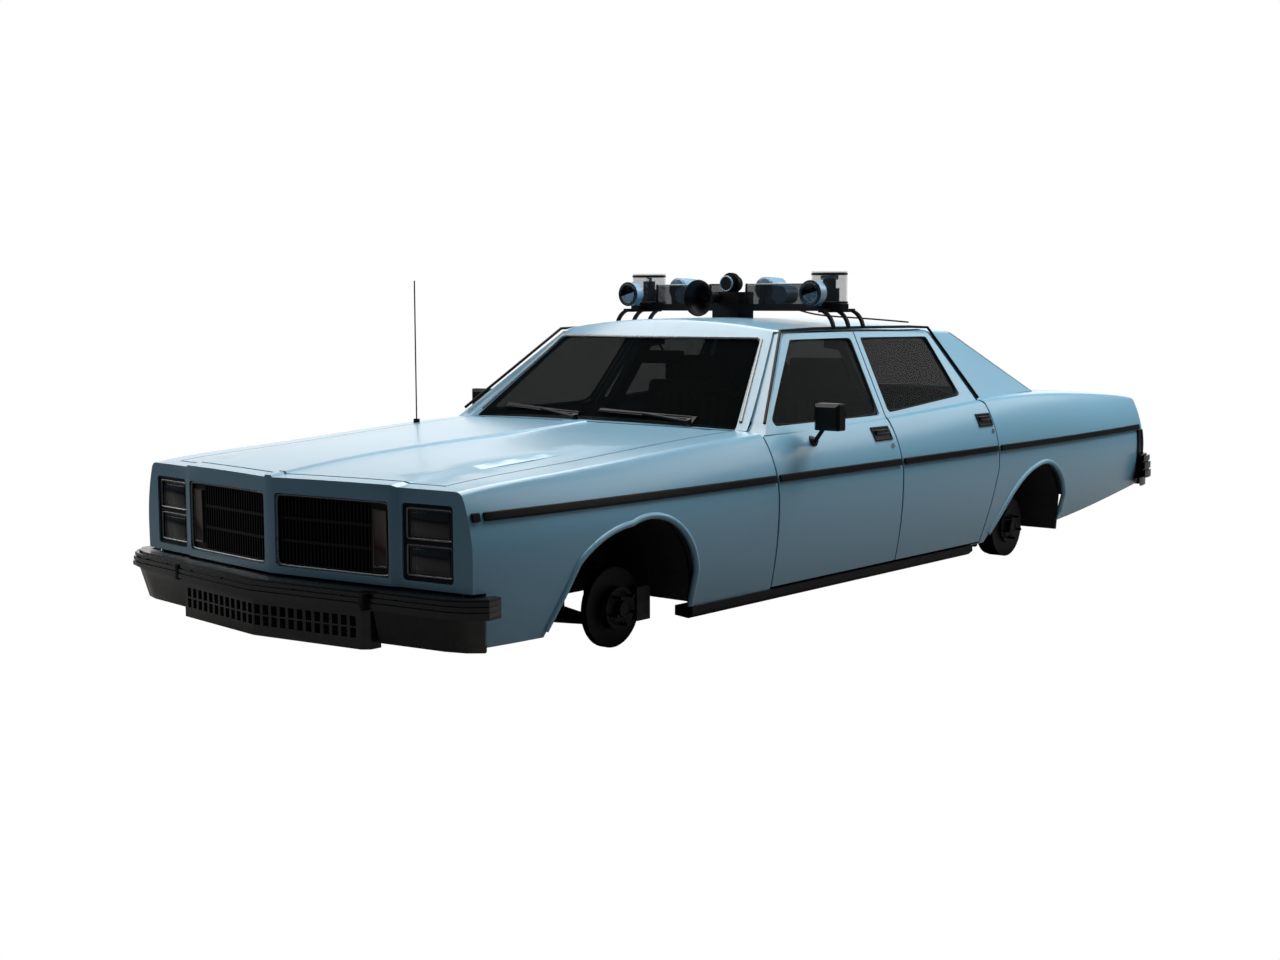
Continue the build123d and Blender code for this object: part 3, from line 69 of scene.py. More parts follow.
SIDES = {"left": 1.0, "right": -1.0}

Colour = tuple[float, float, float]
Point = tuple[float, float, float]
FaceTest = Callable[[Vector, Vector], bool]


class Grain(Enum):
    """Fine relief of a surface."""

    SPRAYED = "sprayed"
    CAST = "cast"
    MOULDED = "moulded"
    BRUSHED = "brushed"
    VINYL = "vinyl"
    RIBBED = "ribbed"


def socket(tree: bpy.types.NodeTree, name: str, kind: str, into: bool, value: float = 0.0) -> None:
    """Add one named socket to a node group.

    Args:
        tree: The group's tree.
        name: The socket's name.
        kind: Its type, such as Float or Color.
        into: True for an input.
        value: Default of a float input.
    """
    item = tree.interface.new_socket(
        name=name, in_out="INPUT" if into else "OUTPUT", socket_type=f"NodeSocket{kind}"
    )
    if into and kind == "Float":
        item.default_value = value


class EffectGroups:
    """Shader node groups that several finishes share, each built once."""

    _made: dict[str, bpy.types.NodeTree] = {}

    @classmethod
    def _start(cls, name: str, inputs: Sequence[tuple[str, float]], output: str):
        """Make a group with float inputs and one float output.

        Args:
            name: The group's name.
            inputs: Input names with their defaults.
            output: The output's name.

        Returns:
            The tree, its input node and its output node.
        """
        tree = bpy.data.node_groups.new(name, "ShaderNodeTree")
        for label, value in inputs:
            socket(tree, label, "Float", True, value)
        socket(tree, output, "Float", False)
        cls._made[name] = tree
        return tree, tree.nodes.new("NodeGroupInput"), tree.nodes.new("NodeGroupOutput")

    @classmethod
    def drift(cls) -> bpy.types.NodeTree:
        """Return the group whose mask wanders slowly over a surface."""
        name = "tone_drift"
        if name in cls._made:
            return cls._made[name]
        tree, into, out = cls._start(name, (("Scale", 3.0), ("Share", 0.5)), "Mask")
        place = tree.nodes.new("ShaderNodeTexCoord")
        cloud = tree.nodes.new("ShaderNodeTexNoise")
        cloud.inputs["Detail"].default_value = 5.0
        cloud.inputs["Roughness"].default_value = 0.6
        spread = tree.nodes.new("ShaderNodeMapRange")
        spread.inputs["From Min"].default_value = 0.35
        spread.inputs["From Max"].default_value = 0.7
        weigh = tree.nodes.new("ShaderNodeMath")
        weigh.operation = "MULTIPLY"
        tree.links.new(place.outputs["Object"], cloud.inputs["Vector"])
        tree.links.new(into.outputs["Scale"], cloud.inputs["Scale"])
        tree.links.new(cloud.outputs["Fac"], spread.inputs["Value"])
        tree.links.new(spread.outputs["Result"], weigh.inputs[0])
        tree.links.new(into.outputs["Share"], weigh.inputs[1])
        tree.links.new(weigh.outputs["Value"], out.inputs["Mask"])
        return tree

    @classmethod
    def dust(cls) -> bpy.types.NodeTree:
        """Return the group whose mask gathers road dust towards the ground."""
        name = "road_dust"
        if name in cls._made:
            return cls._made[name]
        tree, into, out = cls._start(
            name, (("Clean Height", 0.4), ("Amount", 0.3), ("Scale", 30.0)), "Mask"
        )
        place = tree.nodes.new("ShaderNodeTexCoord")
        split = tree.nodes.new("ShaderNodeSeparateXYZ")
        fall = tree.nodes.new("ShaderNodeMapRange")
        fall.inputs["From Max"].default_value = 0.05
        speck = tree.nodes.new("ShaderNodeTexNoise")
        speck.inputs["Detail"].default_value = 6.0
        mixed = tree.nodes.new("ShaderNodeMath")
        mixed.operation = "MULTIPLY"
        weigh = tree.nodes.new("ShaderNodeMath")
        weigh.operation = "MULTIPLY"
        weigh.use_clamp = True
        tree.links.new(place.outputs["Object"], split.inputs["Vector"])
        tree.links.new(place.outputs["Object"], speck.inputs["Vector"])
        tree.links.new(into.outputs["Scale"], speck.inputs["Scale"])
        tree.links.new(split.outputs["Z"], fall.inputs["Value"])
        tree.links.new(into.outputs["Clean Height"], fall.inputs["From Min"])
        tree.links.new(fall.outputs["Result"], mixed.inputs[0])
        tree.links.new(speck.outputs["Fac"], mixed.inputs[1])
        tree.links.new(mixed.outputs["Value"], weigh.inputs[0])
        tree.links.new(into.outputs["Amount"], weigh.inputs[1])
        tree.links.new(weigh.outputs["Value"], out.inputs["Mask"])
        return tree

    @classmethod
    def grain(cls, kind: Grain) -> bpy.types.NodeTree:
        """Return the group that gives a surface's fine height.

        Args:
            kind: The relief wanted.

        Returns:
            The group's tree, with input Scale and output Height.
        """
        name = f"grain_{kind.value}"
        if name in cls._made:
            return cls._made[name]
        tree, into, out = cls._start(name, (("Scale", 200.0),), "Height")
        place = tree.nodes.new("ShaderNodeTexCoord")
        turn = tree.nodes.new("ShaderNodeMapping")
        tree.links.new(place.outputs["Object"], turn.inputs["Vector"])
        if kind in (Grain.VINYL, Grain.CAST):
            pattern = tree.nodes.new("ShaderNodeTexVoronoi")
            pattern.feature = "SMOOTH_F1" if kind is Grain.CAST else "DISTANCE_TO_EDGE"
            height = pattern.outputs["Distance"]
        elif kind is Grain.RIBBED:
            pattern = tree.nodes.new("ShaderNodeTexWave")
            pattern.bands_direction = "X"
            pattern.inputs["Distortion"].default_value = 0.0
            height = pattern.outputs["Fac"]
        else:
            pattern = tree.nodes.new("ShaderNodeTexNoise")
            pattern.inputs["Detail"].default_value = 3.0
            height = pattern.outputs["Fac"]
        if kind is Grain.BRUSHED:
            turn.inputs["Scale"].default_value = (0.05, 1.0, 1.0)
        tree.links.new(turn.outputs["Vector"], pattern.inputs["Vector"])
        tree.links.new(into.outputs["Scale"], pattern.inputs["Scale"])
        tree.links.new(height, out.inputs["Height"])
        return tree


@dataclass(frozen=True)
class Finish:
    """One surface finish, with its tone, gloss, fine relief and dust."""

    name: str
    colour: Colour
    second: Colour
    gloss: tuple[float, float] = (0.3, 0.45)
    metallic: float = 0.0
    coat: float = 0.0
    coat_roughness: float = 0.06
    grain: Grain = Grain.MOULDED
    grain_scale: float = 300.0
    grain_depth: float = 0.0004
    grain_strength: float = 0.1
    drift_scale: float = 3.0
    drift_share: float = 0.4
    dust_height: float = 0.35
    dust_amount: float = 0.0
    dust_colour: Colour = (0.23, 0.21, 0.18)
    transmission: float = 0.0
    ior: float = 1.5
    sheen: float = 0.0
    alpha: float = 1.0
    specular: float = 0.5
    slot: str = ""

    def material(self) -> bpy.types.Material:
        """Return the finish's material, made on first use."""
        label = f"{self.name}_finish"
        known = bpy.data.materials.get(label)
        if known is not None:
            return known
        made = bpy.data.materials.new(label)
        made.use_nodes = True
        tree = made.node_tree
        shader = tree.nodes["Principled BSDF"]
        shader.inputs["Metallic"].default_value = self.metallic
        shader.inputs["Coat Weight"].default_value = self.coat
        shader.inputs["Coat Roughness"].default_value = self.coat_roughness
        shader.inputs["IOR"].default_value = self.ior
        shader.inputs["Transmission Weight"].default_value = self.transmission
        shader.inputs["Sheen Weight"].default_value = self.sheen
        shader.inputs["Alpha"].default_value = self.alpha
        shader.inputs["Specular IOR Level"].default_value = self.specular
        drift = self._group(tree, EffectGroups.drift(), Scale=self.drift_scale, Share=self.drift_share)
        tone = self._mix(tree, drift.outputs["Mask"], self.colour, self.second)
        colour = tone.outputs["Result"]
        if self.dust_amount > 0.0:
            dust = self._group(
                tree, EffectGroups.dust(),
                **{"Clean Height": self.dust_height, "Amount": self.dust_amount},
            )
            layer = self._mix(tree, dust.outputs["Mask"], self.colour, self.dust_colour)
            tree.links.new(colour, layer.inputs["A"])
            colour = layer.outputs["Result"]
        tree.links.new(colour, shader.inputs["Base Color"])
        height = self._group(tree, EffectGroups.grain(self.grain), Scale=self.grain_scale)
        rough = tree.nodes.new("ShaderNodeMapRange")
        rough.inputs["To Min"].default_value = self.gloss[0]
        rough.inputs["To Max"].default_value = self.gloss[1]
        tree.links.new(drift.outputs["Mask"], rough.inputs["Value"])
        tree.links.new(rough.outputs["Result"], shader.inputs["Roughness"])
        bump = tree.nodes.new("ShaderNodeBump")
        bump.inputs["Distance"].default_value = self.grain_depth
        bump.inputs["Strength"].default_value = self.grain_strength
        tree.links.new(height.outputs["Height"], bump.inputs["Height"])
        tree.links.new(bump.outputs["Normal"], shader.inputs["Normal"])
        return made

    @staticmethod
    def _group(tree: bpy.types.NodeTree, group: bpy.types.NodeTree, **values: float):
        """Place a shared group in a material with its own values."""
        node = tree.nodes.new("ShaderNodeGroup")
        node.node_tree = group
        for label, value in values.items():
            node.inputs[label].default_value = value
        return node

    @staticmethod
    def _mix(tree: bpy.types.NodeTree, mask: bpy.types.NodeSocket, first: Colour, second: Colour):
        """Mix two colours by a mask."""
        node = tree.nodes.new("ShaderNodeMix")
        node.data_type = "RGBA"
        tree.links.new(mask, node.inputs["Factor"])
        node.inputs["A"].default_value = (*first, 1.0)
        node.inputs["B"].default_value = (*second, 1.0)
        return node


PAINT = Finish(
    "pale_blue_paint", (0.11, 0.245, 0.345), (0.125, 0.265, 0.37), gloss=(0.34, 0.42), coat=0.8,
    coat_roughness=0.22, grain=Grain.SPRAYED, grain_scale=260.0, grain_depth=0.0003,
    grain_strength=0.05, drift_scale=1.4, dust_height=0.3, dust_amount=0.2, slot="paint",
)
UNDERSEAL = Finish(
    "black_underseal", (0.012, 0.013, 0.015), (0.028, 0.026, 0.024), gloss=(0.6, 0.85), grain=Grain.CAST,
    grain_scale=160.0, grain_depth=0.002, grain_strength=0.5, dust_height=0.4, dust_amount=0.25,
    slot="underseal",
)
BUMPER_BLACK = Finish(
    "bumper_black", (0.003, 0.0035, 0.004), (0.006, 0.0065, 0.007), gloss=(0.26, 0.42), coat=0.2,
    coat_roughness=0.2, grain_scale=420.0, grain_strength=0.12, dust_height=0.3, dust_amount=0.3,
    slot="black_trim",
)
TRIM_BLACK = Finish(
    "trim_black", (0.003, 0.003, 0.0035), (0.007, 0.007, 0.0075), gloss=(0.35, 0.55), grain_scale=500.0,
    grain_strength=0.15, specular=0.18, slot="black_trim",
)
RUBBER = Finish(
    "black_rubber", (0.004, 0.004, 0.004), (0.009, 0.009, 0.0095), gloss=(0.5, 0.72), grain=Grain.CAST,
    grain_scale=700.0, grain_depth=0.0003, grain_strength=0.2, specular=0.2, slot="black_rubber",
)
TINTED_GLASS = Finish(
    "tinted_glass", (0.003, 0.004, 0.004), (0.005, 0.006, 0.006), gloss=(0.02, 0.05), alpha=0.56,
    specular=0.02,
    grain=Grain.SPRAYED, grain_scale=3.0, grain_depth=0.0002, grain_strength=0.02, drift_share=0.2,
    slot="tinted_glass",
)
SCREEN_GLASS = replace(TINTED_GLASS, name="screen_glass", alpha=0.68, specular=0.0)
LAMP_GLASS = Finish(
    "smoked_lamp_glass", (0.006, 0.0065, 0.007), (0.01, 0.01, 0.011), gloss=(0.06, 0.12),
    ior=1.5, grain=Grain.RIBBED, grain_scale=22.0, grain_depth=0.001,
    grain_strength=0.35, slot="lamp_glass",
)
RED_LENS = Finish(
    "red_lens", (0.22, 0.006, 0.008), (0.28, 0.012, 0.012), gloss=(0.08, 0.16), coat=0.6,
    transmission=0.25, grain=Grain.RIBBED, grain_scale=30.0, grain_depth=0.001, grain_strength=0.4,
    slot="red_lens",
)
BRIGHT = Finish(
    "bright_steel", (0.6, 0.61, 0.62), (0.5, 0.51, 0.53), gloss=(0.12, 0.28), metallic=1.0,
    grain=Grain.BRUSHED, grain_scale=900.0, grain_depth=0.0002, grain_strength=0.1,
    slot="bright_steel",
)
CLEAR_COVER = Finish(
    "clear_cover", (0.06, 0.065, 0.07), (0.08, 0.085, 0.09), gloss=(0.03, 0.07), alpha=0.2, specular=0.3,
    grain=Grain.SPRAYED, grain_scale=12.0, grain_strength=0.03, slot="clear_cover",
)
SMOKED_COVER = Finish(
    "smoked_cover", (0.02, 0.022, 0.024), (0.03, 0.032, 0.034), gloss=(0.03, 0.08), alpha=0.45,
    grain=Grain.SPRAYED, grain_scale=12.0, grain_strength=0.03, slot="clear_cover",
)
BEACON_BLUE = Finish(
    "beacon_blue", (0.16, 0.28, 0.4), (0.19, 0.31, 0.43), gloss=(0.2, 0.32), coat=0.8,
    grain=Grain.SPRAYED, grain_scale=300.0, grain_strength=0.05, slot="blue_lens",
)
VINYL = Finish(
    "seat_vinyl", (0.022, 0.023, 0.025), (0.035, 0.036, 0.038), gloss=(0.42, 0.6), grain=Grain.VINYL,
    grain_scale=260.0, grain_depth=0.0006, grain_strength=0.4, sheen=0.1, slot="seat_vinyl",
)
DASH_VINYL = Finish(
    "dash_vinyl", (0.014, 0.014, 0.016), (0.024, 0.024, 0.026), gloss=(0.5, 0.66), grain=Grain.VINYL,
    grain_scale=340.0, grain_depth=0.0004, grain_strength=0.35, slot="seat_vinyl",
)
ENGINE_IRON = Finish(
    "engine_iron", (0.2, 0.21, 0.22), (0.26, 0.25, 0.23), gloss=(0.5, 0.75), metallic=0.6,
    grain=Grain.CAST, grain_scale=180.0, grain_depth=0.001, grain_strength=0.4, slot="engine_iron",
)
CHASSIS_IRON = Finish(
    "chassis_iron", (0.014, 0.014, 0.016), (0.05, 0.035, 0.026), gloss=(0.5, 0.8), metallic=0.4,
    grain=Grain.CAST, grain_scale=200.0, grain_depth=0.001, grain_strength=0.4, dust_height=0.3,
    dust_amount=0.3, slot="chassis_iron",
)
EXHAUST_STEEL = Finish(
    "exhaust_steel", (0.2, 0.19, 0.18), (0.13, 0.09, 0.06), gloss=(0.45, 0.75), metallic=0.8,
    grain=Grain.BRUSHED, grain_scale=300.0, grain_strength=0.2, drift_share=0.8, slot="exhaust_steel",
)
BRAKE_IRON = Finish(
    "brake_iron", (0.008, 0.008, 0.0085), (0.02, 0.016, 0.013), gloss=(0.42, 0.66), metallic=0.6,
    grain=Grain.CAST, grain_scale=320.0, grain_depth=0.0006, grain_strength=0.3, drift_scale=9.0,
    slot="brake_iron",
)


BOTTLE_WHITE = Finish(
    "bottle_white", (0.55, 0.56, 0.54), (0.48, 0.48, 0.45), gloss=(0.35, 0.5), grain_scale=200.0,
    grain_strength=0.08,
)
# Grey metal for the real reveals and lamp rims. The same finish also makes the grey strips on the mirror tops
# and along the light-bar cover edges, which are painted highlights.
REVEAL_AND_HIGHLIGHT_GREY = Finish(
    "reveal_and_highlight_grey", (0.2, 0.21, 0.215), (0.26, 0.27, 0.275), gloss=(0.25, 0.4), metallic=0.6,
    grain=Grain.BRUSHED, grain_scale=600.0, grain_depth=0.0002, grain_strength=0.1, slot="bright_steel",
)
AMBER_LENS = Finish(
    "amber_lens", (0.028, 0.006, 0.002), (0.045, 0.01, 0.003), gloss=(0.1, 0.18), coat=0.6,
    grain=Grain.RIBBED, grain_scale=40.0, grain_depth=0.001, grain_strength=0.4, slot="red_lens",
)
LAMP_FACE = Finish(
    "lamp_face", (0.004, 0.0045, 0.005), (0.009, 0.01, 0.011), gloss=(0.08, 0.16), coat=0.3,
    coat_roughness=0.05, grain=Grain.RIBBED, grain_scale=26.0, grain_depth=0.0012,
    grain_strength=0.5, slot="lamp_glass",
)


class Bench:
    """Mesh work with Blender's own operators, one object at a time."""

    @staticmethod
    def clear() -> None:
        """Leave edit mode and deselect everything."""
        active = bpy.context.view_layer.objects.active
        if active is not None and active.mode != "OBJECT":
            bpy.ops.object.mode_set(mode="OBJECT")
        bpy.ops.object.select_all(action="DESELECT")

    @classmethod
    def take(cls, obj: bpy.types.Object) -> None:
        """Select one object alone and make it active."""
        cls.clear()
        obj.select_set(True)
        bpy.context.view_layer.objects.active = obj

    @classmethod
    def settle(cls, name: str) -> bpy.types.Object:
        """Name the new active object and move its place into its mesh.

        Args:
            name: The piece's name.

        Returns:
            The object, at the origin.
        """
        obj = bpy.context.view_layer.objects.active
        obj.name = name
        obj.data.name = name
        cls.take(obj)
        bpy.ops.object.transform_apply(location=True, rotation=True, scale=True)
        return obj

    @classmethod
    def block(cls, name: str, low: Point, high: Point) -> bpy.types.Object:
        """Add a box between two corners.

        Args:
            name: The piece's name.
            low: Lowest corner.
            high: Highest corner.

        Returns:
            The box.
        """
        cls.clear()
        bpy.ops.mesh.primitive_cube_add(size=1.0, location=(Vector(low) + Vector(high)) / 2.0)
        bpy.context.object.scale = Vector(high) - Vector(low)
        return cls.settle(name)

    @classmethod
    def drum(
        cls, name: str, start: Point, end: Point, radius: float, top: float | None = None, sides: int = 40
    ) -> bpy.types.Object:
        """Add a round bar or cone between two points.

        Args:
            name: The piece's name.
            start: Middle of the first end.
            end: Middle of the second end.
            radius: Radius at the start.
            top: Radius at the end, as at the start when left out.
            sides: Number of sides.

        Returns:
            The bar.
        """
        cls.clear()
        axis = Vector(end) - Vector(start)
        bpy.ops.mesh.primitive_cone_add(
            vertices=sides, radius1=radius, radius2=radius if top is None else top, depth=axis.length,
            location=(Vector(start) + Vector(end)) / 2.0,
            rotation=axis.to_track_quat("Z", "Y").to_euler(),
        )
        return cls.settle(name)

    @classmethod
    def ring(cls, name: str, centre: Point, axis: Point, radius: float, thick: float) -> bpy.types.Object:
        """Add a round-section ring.

        Args:
            name: The piece's name.
            centre: Its middle.
            axis: The direction it faces.
            radius: Radius of its centre line.
            thick: Radius of its section.

        Returns:
            The ring.
        """
        cls.clear()
        bpy.ops.mesh.primitive_torus_add(
            location=centre, rotation=Vector(axis).to_track_quat("Z", "Y").to_euler(),
            major_radius=radius, minor_radius=thick, major_segments=56, minor_segments=12,
        )
        return cls.settle(name)

    @classmethod
    def tube(
        cls, name: str, points: Sequence[Point], radius: float, closed: bool = False, bend: bool = True
    ) -> bpy.types.Object:
        """Add a round bar along points.

        Args:
            name: The piece's name.
            points: The way it goes.
            radius: Its radius.
            closed: True for a loop.
            bend: True to round the way off.

        Returns:
            The bar as a mesh.
        """
        cls.clear()
        line = bpy.data.curves.new(name, "CURVE")
        line.dimensions = "3D"
        line.bevel_depth = radius
        line.bevel_resolution = 3
        line.use_fill_caps = True
        spline = line.splines.new("NURBS" if bend else "POLY")
        spline.points.add(len(points) - 1)
        for item, point in zip(spline.points, points):
            item.co = (*point, 1.0)
        spline.use_cyclic_u = closed
        if bend:
            spline.order_u = 3
            spline.use_endpoint_u = not closed
            spline.resolution_u = 6
        obj = bpy.data.objects.new(name, line)
        bpy.context.scene.collection.objects.link(obj)
        cls.take(obj)
        bpy.ops.object.convert(target="MESH")
        return cls.settle(name)

    @classmethod
    def pick(cls, obj: bpy.types.Object, test: FaceTest) -> None:
        """Enter edit mode with the faces chosen by their middle and normal.

        Args:
            obj: The piece.
            test: True for a face to select.
        """
        cls.take(obj)
        bpy.ops.object.mode_set(mode="EDIT")
        bpy.ops.mesh.select_mode(type="FACE")
        bpy.ops.mesh.select_all(action="DESELECT")
        bpy.ops.object.mode_set(mode="OBJECT")
        for face in obj.data.polygons:
            face.select = test(face.center, face.normal)
        bpy.ops.object.mode_set(mode="EDIT")

    @classmethod
    def recess(cls, obj: bpy.types.Object, test: FaceTest, rim: float, depth: float) -> None:
        """Inset the chosen faces and push them along their normals.

        Args:
            obj: The piece.
            test: True for a face to work on.
            rim: Width of the rim left round them.
            depth: How far they go in, or out when negative.
        """
        cls.pick(obj, test)
        bpy.ops.mesh.inset(thickness=rim, depth=0.0)
        bpy.ops.mesh.extrude_region_shrink_fatten(
            TRANSFORM_OT_shrink_fatten={"value": -depth, "use_even_offset": True}
        )
        bpy.ops.object.mode_set(mode="OBJECT")

    @classmethod
    def bevel(cls, obj: bpy.types.Object, width: float, steps: int = 2, angle: float = 40.0) -> None:
        """Round the sharp edges of a piece.

        Args:
            obj: The piece.
            width: Width of the rounding.
            steps: Segments across it.
            angle: Edges sharper than this are rounded, in degrees.
        """
        cls.take(obj)
        rounding = obj.modifiers.new("rounding", "BEVEL")
        rounding.width = width
        rounding.segments = steps
        rounding.limit_method = "ANGLE"
        rounding.angle_limit = math.radians(angle)
        bpy.ops.object.modifier_apply(modifier=rounding.name)

    @classmethod
    def smooth(cls, obj: bpy.types.Object, angle: float = 35.0) -> None:
        """Shade a piece smooth, apart from edges sharper than the angle."""
        cls.take(obj)
        bpy.ops.object.shade_smooth_by_angle(angle=math.radians(angle))

    @classmethod
    def subdivide(cls, obj: bpy.types.Object, levels: int) -> None:
        """Apply a subdivision surface."""
        cls.take(obj)
        rounder = obj.modifiers.new("rounder", "SUBSURF")
        rounder.levels = levels
        rounder.render_levels = levels
        bpy.ops.object.modifier_apply(modifier=rounder.name)

    @classmethod
    def wrap(cls, obj: bpy.types.Object, target: bpy.types.Object, axis: str, offset: float = 0.0) -> None:
        """Lay a piece on another along one axis.

        Args:
            obj: The piece.
            target: What it lies on.
            axis: X, Y or Z, the way it is pressed, both directions.
            offset: Height above the target.
        """
        cls.take(obj)
        press = obj.modifiers.new("press", "SHRINKWRAP")
        press.target = target
        press.wrap_method = "PROJECT"
        press.wrap_mode = "ABOVE_SURFACE"
        press.use_project_x = axis == "X"
        press.use_project_y = axis == "Y"
        press.use_project_z = axis == "Z"
        press.use_negative_direction = True
        press.use_positive_direction = True
        press.offset = offset
        bpy.ops.object.modifier_apply(modifier=press.name)

    @classmethod
    def thicken(cls, obj: bpy.types.Object, thick: float, offset: float = 0.0) -> None:
        """Give a sheet its thickness.

        Args:
            obj: The sheet.
            thick: The thickness.
            offset: Side it grows to, 1 along the normals and -1 against them.
        """
        cls.take(obj)
        wall = obj.modifiers.new("wall", "SOLIDIFY")
        wall.thickness = thick
        wall.offset = offset
        wall.use_even_offset = True
        bpy.ops.object.modifier_apply(modifier=wall.name)

    @classmethod
    def tidy(cls, obj: bpy.types.Object, merge: float = 1e-5) -> None:
        """Merge doubles and turn the faces outwards."""
        cls.take(obj)
        bpy.ops.object.mode_set(mode="EDIT")
        bpy.ops.mesh.select_all(action="SELECT")
        bpy.ops.mesh.remove_doubles(threshold=merge)
        bpy.ops.mesh.normals_make_consistent(inside=False)
        bpy.ops.object.mode_set(mode="OBJECT")

    @classmethod
    def duplicate(cls, obj: bpy.types.Object, name: str, mirror: bool = False) -> bpy.types.Object:
        """Copy a piece with its own mesh.

        Args:
            obj: The piece.
            name: The copy's name.
            mirror: True to turn it to the other side of the car.

        Returns:
            The copy.
        """
        cls.take(obj)
        bpy.ops.object.duplicate()
        copy = bpy.context.view_layer.objects.active
        if mirror:
            copy.scale.x = -1.0
        copy = cls.settle(name)
        if mirror:
            cls.tidy(copy)
        return copy

    @classmethod
    def join(cls, pieces: Sequence[bpy.types.Object], name: str) -> bpy.types.Object:
        """Join pieces into one.

        Args:
            pieces: What is joined.
            name: The joined piece's name.

        Returns:
            The joined piece.
        """
        cls.take(pieces[0])
        for piece in pieces[1:]:
            piece.select_set(True)
        if len(pieces) > 1:
            bpy.ops.object.join()
        return cls.settle(name)


def paint(obj: bpy.types.Object, finish: Finish) -> bpy.types.Object:
    """Give a piece one finish.

    Args:
        obj: The piece.
        finish: Its finish.

    Returns:
        The piece.
    """
    obj.data.materials.clear()
    obj.data.materials.append(finish.material())
    return obj


def mount(obj: bpy.types.Object, body: str, finish: Finish, angle: float = 35.0) -> bpy.types.Object:
    """Smooth a finished piece, paint it and make it ride on a body.

    Args:
        obj: The piece.
        body: The body that carries it.
        finish: Its finish.
        angle: Edges sharper than this stay sharp, in degrees.

    Returns:
        The piece.
    """
    Bench.smooth(obj, angle)
    paint(obj, finish)
    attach(obj, body)
    LOG.info("%s rides on %s", obj.name, body)
    return obj


@dataclass
class BodyWork:
    """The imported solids, merged and smoothed, each in its own finish."""

    frame: dict
    finishes: dict[str, Finish] = field(default_factory=dict)
    sharp: float = 30.0
    body_of: dict[str, str] = field(default_factory=dict)
    panels: dict[str, bpy.types.Object] = field(default_factory=dict)

    def __post_init__(self) -> None:
        """Note which body carries each node."""
        for body, nodes in self.frame["record"]["behaviour"]["bodies"].items():
            for node in nodes:
                self.body_of[node] = body

    def panel(self, node: str, finish: Finish, rounding: float = 0.0) -> bpy.types.Object:
        """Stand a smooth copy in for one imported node.

        Args:
            node: The node's name.
            finish: Its finish.
            rounding: Width of the rounding of its edges.

        Returns:
            The copy.
        """
        source = self.frame["nodes"][node]
        copy = bpy.data.objects.new(f"{node}_skin", source.data.copy())
        bpy.context.scene.collection.objects.link(copy)
        Bench.take(copy)
        bpy.ops.mesh.customdata_custom_splitnormals_clear()
        bpy.ops.object.mode_set(mode="EDIT")
        bpy.ops.mesh.select_all(action="SELECT")
        bpy.ops.mesh.remove_doubles(threshold=2e-5)
        bpy.ops.object.mode_set(mode="OBJECT")
        if rounding > 0.0:
            Bench.bevel(copy, rounding, 2, 50.0)
        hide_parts(node)
        self.panels[node] = mount(copy, self.body_of[node], finish, self.sharp)
        return copy

    def second_finish(self, node: str, finish: Finish, test: FaceTest) -> None:
        """Give some faces of a copy another finish.

        Args:
            node: The node's name.
            finish: The other finish.
            test: True for a face that takes it.
        """
        mesh = self.panels[node].data
        mesh.materials.append(finish.material())
        for face in mesh.polygons:
            if test(face.center, face.normal):
                face.material_index = len(mesh.materials) - 1

    def build(self) -> None:
        """Dress every node that has a finish in the table."""
        for node, finish in self.finishes.items():
            self.panel(node, finish)
        self.second_finish("lightbar_covers", SMOKED_COVER, lambda c, n: abs(c.x) < 0.442)
        self.second_finish(
            "lightbar_lamps", LAMP_FACE, lambda c, n: abs(c.y - 0.075) < 0.05 and abs(c.x) > 0.46
        )


NODE_FINISHES: dict[str, Finish] = {
    **dict.fromkeys(
        (
            "front_fenders", "nose_panel", "cowl_panel", "roof_frame", "quarter_panels", "tail_panel",
            "hood", "trunk_lid", "front_door_left", "front_door_right", "rear_door_left",
            "rear_door_right",
        ),
        PAINT,
    ),
    **dict.fromkeys(
        (
            "front_door_glass_left", "front_door_glass_right", "rear_door_glass_left",
            "rear_door_glass_right",
        ),
        TINTED_GLASS,
    ),
    **dict.fromkeys(("front_bumper", "front_valance", "rear_bumper"), BUMPER_BLACK),
    **dict.fromkeys(("grille", "lightbar_base", "siren_horn", "mirror_left", "mirror_right"), TRIM_BLACK),
    **dict.fromkeys(("sills", "antenna"), RUBBER),
    **dict.fromkeys(("dashboard", "steering_wheel"), DASH_VINYL),
    **dict.fromkeys(("subframe", "rear_axle", "knuckle_left", "knuckle_right", "fuel_tank"), CHASSIS_IRON),
    **dict.fromkeys(
        ("front_hub_left", "front_hub_right", "rear_hub_left", "rear_hub_right"), BRAKE_IRON
    ),
    "fixed_glass": SCREEN_GLASS,
    "underbody": UNDERSEAL,
    "wheel_liners": UNDERSEAL,
    "headlamps": LAMP_GLASS,
    "tail_lamps": RED_LENS,
    "wipers": TRIM_BLACK,
    "lightbar_covers": CLEAR_COVER,
    "lightbar_lamps": BEACON_BLUE,
    "engine": ENGINE_IRON,
    "exhaust": EXHAUST_STEEL,
}


@dataclass(frozen=True)
class Pillar:
    """A corner line of the glasshouse from the belt to the roof rail, in metres."""

    low: Point
    top: Point

    def at(self, z: float) -> Vector:
        """Return the corner's place at a height."""
        share = (z - self.low[2]) / (self.top[2] - self.low[2])
        return Vector(self.low).lerp(Vector(self.top), share)


